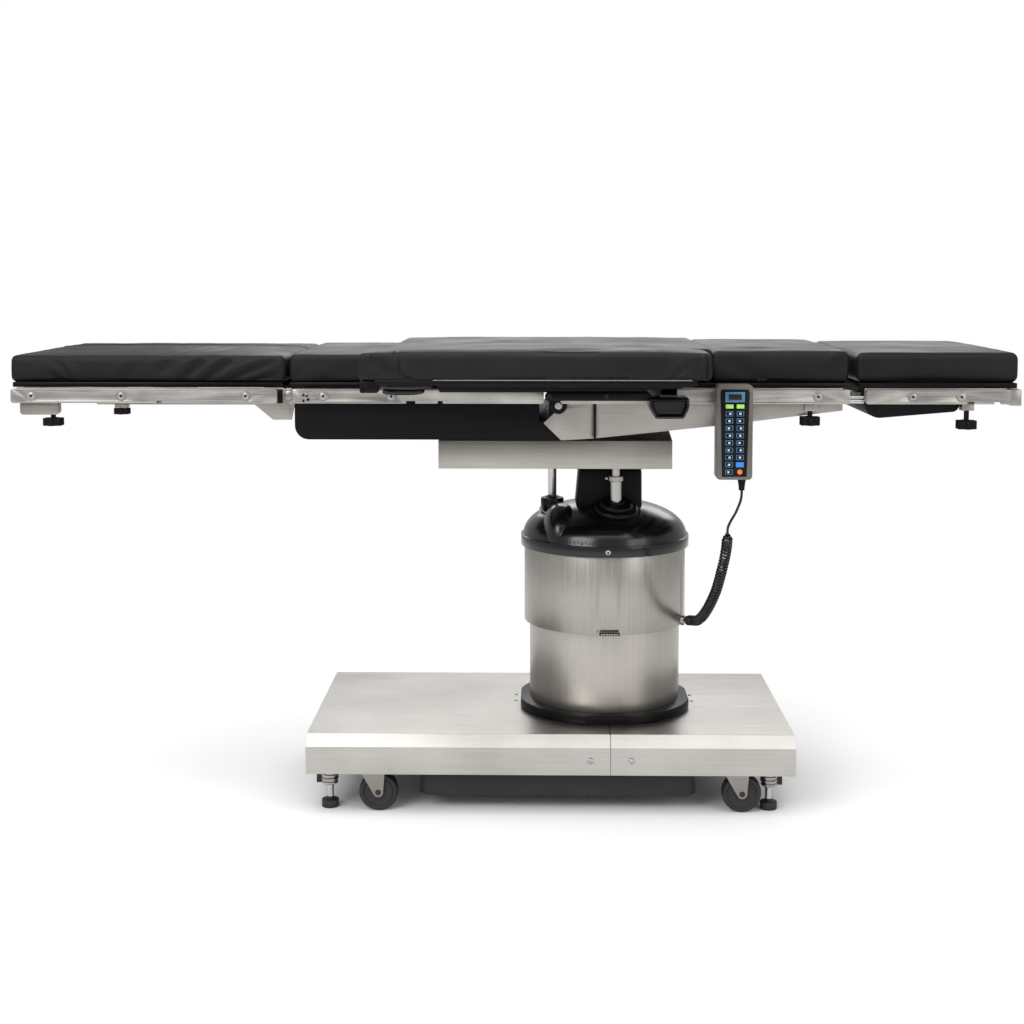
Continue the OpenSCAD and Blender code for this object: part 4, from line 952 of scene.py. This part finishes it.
# Rods, boots and neck over the dome
rodSettings = {
    "tiltPlace": (214.5, -86),
    "tiltRod": [(0, 525), (11.8, 525), (11.8, 667), (8.4, 668), (8.4, 706), (0, 706)],
    "tiltCollar": [(8.4, 661), (14.6, 661), (15.6, 662), (15.6, 670.6), (14.6, 671.6), (8.4, 671.6)],
    "collarScrew": (-16.5, 666.5),
    "screw": [(0, 6), (3.2, 5.4), (3.6, 4), (3.6, 0)],
    "bootTilt": (0.06, -0.28, 0.96),
    "bootFoot": 597,
    "boot": [
        (58, -14), (57.5, -3), (56.5, 1), (53, 3.6), (49.5, 3.0), (46.6, 3.2), (46.8, 8), (44.4, 11.6),
        (40.2, 12.6), (36.4, 11.8), (34.6, 13), (34.8, 17), (32.2, 20.4), (27, 21.4), (20, 20.6),
        (16.4, 21.4), (15.4, 24), (12.4, 24.6),
    ],
    "trendPlace": (82, 0),
    "trendBoot": [
        (21, 548), (21, 588), (23.4, 590), (24.6, 592), (24.6, 612),
        (23.4, 614.4), (16, 615), (15, 617), (12.4, 617.4),
    ],
    "bracket": [(54, -27, 566), (60, -17, 598)],
    "neckFront": [(133, 592), (269.3, 592), (268.6, 683), (141, 683)],
    "neckHalfY": 54,
    "sheet": 2.4,
    "rim": [(133.5, 681.5), (271, 681.5), (271, 685), (133.5, 685)],
    "rimY": ((-57, -51), (51, 57)),
    "footSide": [(135.5, -55, 681.5), (142, 55, 685)],
    "headSide": [(264.5, -55, 681.5), (271, 55, 685)],
}


def makeRods(settings):
    bm = bmesh.new()
    lathe(bm, settings["tiltRod"], at(*settings["tiltPlace"], 0), (0, 0, 1), 40)
    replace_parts(closePiece(bm, "tilt_rod_bar", "tilt_rod", "rodSteel"), "tilt_rod")
    bm = bmesh.new()
    lathe(bm, settings["tiltCollar"], at(*settings["tiltPlace"], 0), (0, 0, 1), 40)
    dx, z = settings["collarScrew"]
    screwPlace = at(settings["tiltPlace"][0] + dx, settings["tiltPlace"][1], z)
    lathe(bm, settings["screw"], screwPlace, (-1, 0, 0), 20)
    closePiece(bm, "tilt_rod_collar", "tilt_rod", "boltSteel")
    bm = bmesh.new()
    bootPlace = at(*settings["tiltPlace"], settings["bootFoot"])
    lathe(bm, settings["boot"], bootPlace, settings["bootTilt"], 64)
    lathe(bm, settings["trendBoot"], at(*settings["trendPlace"], 0), (0, 0, 1), 48)
    boots = closePiece(bm, "rod_bellows", "column_head", "satinBlack", 50)
    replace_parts(boots, "rod_boots")
    bm = bmesh.new()
    addBox(bm, *settings["bracket"], 1.2)
    closePiece(bm, "boot_bracket", "column_head", "boltSteel")


def makeNeck(settings):
    bm = bmesh.new()
    half = settings["neckHalfY"]
    prismAlongY(bm, settings["neckFront"], -half, half, 9, 4)
    bm.normal_update()
    lids = [f for f in bm.faces if abs(f.normal.z) > 0.7]
    bmesh.ops.delete(bm, geom=lids, context="FACES")
    bmesh.ops.solidify(bm, geom=bm.faces[:], thickness=settings["sheet"] * mm)
    for y0, y1 in settings["rimY"]:
        prismAlongY(bm, settings["rim"], y0, y1, 0.8, 2)
    addBox(bm, *settings["footSide"], 0.8)
    addBox(bm, *settings["headSide"], 0.8)
    hood = closePiece(bm, "neck_hood", "column_head", "mattBlack", 40)
    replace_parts(hood, "neck_cover")


makeRods(rodSettings)
makeNeck(rodSettings)
print("rods, boots and neck made")

# Arm board: link bar, clamp, release handle and bright edge
armSettings = {
    "link": {"foot": 72.5, "head": 262, "z": 859.5, "half": 8.2, "y": (-345.5, -333)},
    "linkBack": [(-140, -340, 867), (262, -326, 886)],
    "linkBolts": ((73, 859.5), (183, 859)),
    "linkBolt": [(0, 0.6), (2.0, 0.6), (2.4, 1.4), (4.6, 1.6), (5.4, 0.9), (5.8, 0)],
    "clamp": [(276.5, 818), (331.5, 818), (341, 838), (342, 858), (264.5, 858), (265.5, 838)],
    "clampY": (-361, -277),
    "dish": {"area": 0.0008, "inFront": 0.35, "inset": 0.006, "depth": 0.008},  # in metres
    "stem": [(285, -352, 855), (319, -292, 877)],
    "boardLow": [(-256, -427.5, 887), (350, -293.5, 897)],
    "boardEdge": [(-140, -427, 884), (340, -294, 890)],
    "boardFoot": [
        (268, 888), (350, 888), (338, 879), (319, 875), (318, 862),
        (287, 862), (285, 870), (262, 873), (240, 882),
    ],
    "boardFootY": (-352, -296),
    "block": [(-285, -424, 872), (-250, -392, 896.5)],
    "blockScrew": (-279, -424, 878.5),
    "screw": [(0, 0.5), (1.6, 0.5), (1.8, 1.6), (3.4, 1.6), (3.8, 0)],
    "handleCentre": (-204, -336, 879),
    "handleHalf": (51, 20.5, 9.6),
    "lipCentre": (-209, -336, 868.5),
    "lipHalf": (41, 18, 7.0),
    "handlePost": [(-232, -350, 872), (-206, -322, 890)],
    "brightEdge": [(-146, -428.3, 896.0), (340, -425, 897.4)],
}


def stadium(x0, x1, z, half, steps=10):
    turns = [math.pi * (i / steps - 0.5) for i in range(steps + 1)]
    right = [(x1 + math.cos(t) * half, z + math.sin(t) * half) for t in turns]
    left = [(x0 - math.cos(t) * half, z - math.sin(t) * half) for t in turns]
    return right + left


def boat(bm, centre, half, power=2.6, taper=0.22):  # a rounded block, squarer than an egg
    made = bmesh.ops.create_uvsphere(bm, u_segments=40, v_segments=20, radius=1)["verts"]
    for v in made:
        c = [math.copysign(abs(v.co[i]) ** (2 / power), v.co[i]) for i in range(3)]
        spread = 1 - taper * max(0, c[0]) ** 2
        scale = (half[0], half[1] * spread, half[2] * spread)
        v.co = at(*(centre[i] + c[i] * scale[i] for i in range(3)))


def makeArm(settings):
    link = settings["link"]
    bm = bmesh.new()
    prismAlongY(bm, stadium(link["foot"], link["head"], link["z"], link["half"]), *link["y"], 0.8, 2)
    addBox(bm, *settings["linkBack"], 1)
    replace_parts(closePiece(bm, "arm_link_bar", "arm", "satinBlack"), "arm_link")
    bolts = bmesh.new()
    for x, z in settings["linkBolts"]:
        lathe(bolts, settings["linkBolt"], at(x, link["y"][0], z), (0, -1, 0), 28)
    closePiece(bolts, "arm_link_bolts", "arm", "domeGloss")
    bm = bmesh.new()
    prismAlongY(bm, settings["clamp"], *settings["clampY"], 4, 3)
    addBox(bm, *settings["stem"], 2)
    bm.normal_update()
    dish = settings["dish"]
    front = [
        f for f in bm.faces
        if abs(f.normal.y) > 0.99 and f.calc_area() > dish["area"]
        and f.calc_center_median().y < centreY - dish["inFront"]
    ]
    bmesh.ops.inset_region(bm, faces=front, thickness=dish["inset"], depth=0)
    pushed = list({v for f in front for v in f.verts})
    bmesh.ops.translate(bm, verts=pushed, vec=(0, dish["depth"], 0))
    clamp = closePiece(bm, "arm_clamp_body", bodyOf["arm_clamp"], "domeGloss", 40)
    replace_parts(clamp, "arm_clamp")
    bm = bmesh.new()
    addBox(bm, *settings["boardLow"], 1.2)
    addBox(bm, *settings["boardEdge"], 1.2)
    prismAlongY(bm, settings["boardFoot"], *settings["boardFootY"], 1.5, 2)
    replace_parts(closePiece(bm, "arm_board_plate", "arm", "satinBlack"), "arm_board")
    bm = bmesh.new()
    addBox(bm, *settings["block"], 3.5, 3)
    lathe(bm, settings["screw"], at(*settings["blockScrew"]), (0, -1, 0), 20)
    closePiece(bm, "arm_end_block", "arm", "satinBlack")
    bm = bmesh.new()
    boat(bm, settings["handleCentre"], settings["handleHalf"])
    boat(bm, settings["lipCentre"], settings["lipHalf"], 3.2)
    addBox(bm, *settings["handlePost"], 2)
    body = bodyOf["arm_release"]
    handle = closePiece(bm, "arm_release_handle", body, "domeGloss", 60)
    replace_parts(handle, "arm_release")
    bm = bmesh.new()
    addBox(bm, *settings["brightEdge"])
    closePiece(bm, "arm_bright_edge", "arm", "rodSteel")


makeArm(armSettings)
print("arm board made")

# Small fittings: painted shade in the latch holes, cover screws, lock stems, painted shade in the peg holes by the
# collar, head posts and end plates
fitSettings = {
    "latch": [(-410, 857), (-410, 845.8), (-403.5, 855.5), (-401.5, 848.5)],
    "latchHalf": 2.2,
    "latchDepth": 2,
    "latchLift": 0.0003,
    "coverScrews": (157.8, 240.3),
    "screwZ": 117.5,
    "screwY": 268,
    "screw": [(0, 0.6), (1.6, 0.6), (2.0, 2.2), (3.8, 2.4), (5.4, 1.4), (6.0, 0)],
    "lockPlaces": ((-376, 200), (525, 200)),
    "ribShift": 6,
    "stem": [(7.4, 22), (7.4, 62)],
    "ribs": (50, 88),
    "ribRadii": (14, 14.8, 16.8),
    "ribCount": 5,
    # places of the painted shade rings for the peg holes by the collar
    "marks": ((4, 54), (4, 7), (386, 54), (386, 7)),
    "holeShadeRing": [(2.2, 0.1), (2.4, 0.5), (3.4, 0.5), (3.6, 0)],
    "headPosts": ((851.6, 3.3), (843.4, 3.9)),
    "headPostX": (664, 694),
    "headPostY": 258,
    # corners of the painted shade box in the shroud notch, which also place the ticks
    "headEnd": [(973, 263.6, 838.4), (994.8, 292.2, 870.2)],
    "notch": [(178, -171.9, 351), (220, -169, 357.5)],
    "tickCount": 7,
    "tick": {"margin": 5, "half": 1.6, "reach": 0.5, "low": 1.4, "high": 4.4},
    "seam": [(160.8, -274.0, 768.6), (165.4, -271.6, 840.6)],
    "legNotch": [(-466, 262, 839), (-455, 266.5, 867)],
}


def makeFittings(settings):
    # dark boxes just inside the latch holes: painted shade for the holes' hollows
    latchHoleShade = bmesh.new()
    half = settings["latchHalf"]
    for side, y in bothWays(railOut):
        for x, z in settings["latch"]:
            near, far = sorted((y, y - side * settings["latchDepth"]))
            addBox(latchHoleShade, (x - half, near, z - half), (x + half, far, z + half))
    for v in latchHoleShade.verts:
        v.co.y += math.copysign(settings["latchLift"], v.co.y - centreY)
    closePiece(latchHoleShade, "seat_latch_hole_shade", "seat", "mattBlack")
    screws = bmesh.new()
    for side, y in bothWays(settings["screwY"]):
        for x in settings["coverScrews"]:
            lathe(screws, settings["screw"], at(x, y, settings["screwZ"]), (0, side, 0), 24)
    closePiece(screws, "cover_screw_heads", "base", "boltSteel")
    stems, ribs = bmesh.new(), bmesh.new()
    low, high = settings["ribs"]
    bore, inRadius, outRadius = settings["ribRadii"]
    count = settings["ribCount"]
    profile = [(bore, low)]
    step = (high - low) / count
    for i in range(count):
        z = low + step * i
        profile += [(inRadius, z + 0.1 * step), (outRadius, z + 0.3 * step)]
        profile += [(outRadius, z + 0.65 * step), (inRadius, z + 0.9 * step)]
    for x, y0 in settings["lockPlaces"]:
        for side, y in bothWays(y0):
            lathe(stems, settings["stem"], at(x, y, 0), (0, 0, 1), 24)
            lathe(ribs, profile, at(x, y + side * settings["ribShift"], 0), (0, 0, 1), 28)
    closePiece(stems, "lock_stems", "floor_locks", "rodSteel")
    closePiece(ribs, "lock_ribs", "base", "boltSteel")
    # dark rings on the cover top by the collar: painted shade of the small peg holes
    marks = bmesh.new()
    for x, y in settings["marks"]:
        lathe(marks, settings["holeShadeRing"], at(x, y, coverSettings["top"]), (0, 0, 1), 16)
    closePiece(marks, "cover_peg_hole_shade", "base", "mattBlack")
    posts = bmesh.new()
    x0, x1 = settings["headPostX"]
    for side, y in bothWays(settings["headPostY"]):
        for z, r in settings["headPosts"]:
            lathe(posts, [(0, x0), (r, x0), (r, x1), (0, x1)], at(0, y, z), (1, 0, 0), 20)
    closePiece(posts, "head_chrome_posts", "head", "rodSteel")
    ends = bmesh.new()
    boxBothWays(ends, *settings["headEnd"], 2)
    closePiece(ends, "head_end_plates", "head", "plateSteel")
    # a dark box inside the upper shroud's notch: painted shade in the recess; the pale ticks across it are marks
    notchShade, ticks = bmesh.new(), bmesh.new()
    low, high = settings["notch"]
    addBox(notchShade, low, high, 0.6)
    closePiece(notchShade, "shroud_notch_shade", "column_head", "mattBlack")
    tick, count = settings["tick"], settings["tickCount"]
    half, reach = tick["half"], tick["reach"]
    for i in range(count):
        x = low[0] + tick["margin"] + i * (high[0] - low[0] - 2 * tick["margin"]) / (count - 1)
        tickLow = (x - half, low[1] - reach, low[2] + tick["low"])
        addBox(ticks, tickLow, (x + half, low[1] + reach, low[2] + tick["high"]))
    closePiece(ticks, "shroud_ticks", "column_head", "boltSteel")
    seam = bmesh.new()
    addBox(seam, *settings["seam"])
    closePiece(seam, "frame_seam", "back", "mattBlack")
    notches = bmesh.new()
    boxBothWays(notches, *settings["legNotch"], 1)
    closePiece(notches, "leg_rail_notches", "leg", "mattBlack")


makeFittings(fitSettings)

# Strain relief where the cord leaves the hand control
sleeveSettings = {
    "place": (449, -310.8, 674.1),
    "profile": [(6.2, 0.2), (5.6, 2), (6.2, 8), (7.6, 18), (9.2, 22.4), (9.2, 24.4)],
}
sleeve = bmesh.new()
lathe(sleeve, sleeveSettings["profile"], at(*sleeveSettings["place"]), (0, 0, 1), 32)
closePiece(sleeve, "handset_sleeve", "back", "mattBlack", 50)
print("small fittings made")

# Cord of the hand control: a straight lead, then a tight coil back into the column
cordSettings = {
    "lead": [
        (449, -310.8, 674), (449, -310.8, 664), (447, -310, 652), (439, -307, 630),
        (430, -304, 613), (424.5, -300.4, 599), (424, -297, 588),
    ],
    "coil": [
        (424, -293, 575.1), (424, -283, 556), (422, -272, 533), (418, -262, 508), (414, -249, 483),
        (409, -234, 457), (402, -214, 431), (395, -188, 407), (389, -158, 388), (385, -130, 376),
        (384, -105, 369), (381, -85, 364.5), (376, -71, 362), (369.97, -63.68, 360.3), (363.4, -61.3, 360),
    ],
    "leadStep": 4,
    "wire": 5.2,
    "coilRadius": 8.6,
    "pitch": 7.2,
    "turnSteps": 12,
    "blendTurns": 2,
}


def evenPoints(points, step):  # points at even steps along a smooth curve through the given ones
    smooth = []
    for i in range(len(points) - 1):
        p0, p1 = points[max(0, i - 1)], points[i]
        p2, p3 = points[i + 1], points[min(len(points) - 1, i + 2)]
        for k in range(20):
            t = k / 20
            smooth.append(
                0.5 * (2 * p1 + (p2 - p0) * t + (2 * p0 - 5 * p1 + 4 * p2 - p3) * t * t
                    + (3 * p1 - p0 - 3 * p2 + p3) * t * t * t)
            )
    smooth.append(points[-1])
    result, left = [smooth[0]], step
    for a, b in zip(smooth, smooth[1:]):
        run = (b - a).length
        used = 0
        while run - used >= left:
            used += left
            result.append(a.lerp(b, used / run))
            left = step
        left -= run - used
    return result


def makeCord(settings):
    lead = evenPoints([at(*p) for p in settings["lead"]], settings["leadStep"] * mm)
    step = settings["pitch"] * mm / settings["turnSteps"]
    spine = evenPoints([at(*settings["lead"][-1])] + [at(*p) for p in settings["coil"]], step)
    grow = settings["blendTurns"] * settings["turnSteps"]
    frameSide = Vector((1, 0, 0))
    coil = []
    for i, point in enumerate(spine):
        ahead = spine[min(len(spine) - 1, i + 3)] - spine[max(0, i - 3)]
        ahead.normalize()
        frameSide = (frameSide - ahead * frameSide.dot(ahead)).normalized()
        other = ahead.cross(frameSide)
        turn = math.tau * i / settings["turnSteps"]
        radius = settings["coilRadius"] * mm * min(1, i / grow, 3 * (len(spine) - 1 - i) / grow)
        coil.append(point + (frameSide * math.cos(turn) + other * math.sin(turn)) * radius)
    points = lead + coil
    curve = bpy.data.curves.new("handset_cord", "CURVE")
    curve.dimensions = "3D"
    spline = curve.splines.new("POLY")
    spline.points.add(len(points) - 1)
    for target, point in zip(spline.points, points):
        target.co = (*point, 1)
    curve.bevel_depth = settings["wire"] / 2 * mm
    curve.bevel_resolution = 2
    curve.use_fill_caps = True
    cord = addObject("handset_cord", curve)
    curve.materials.append(finishes["cordRubber"])
    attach(cord, "column_head")
    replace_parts(cord, "pendant_cord", "pendant_coil")


makeCord(cordSettings)
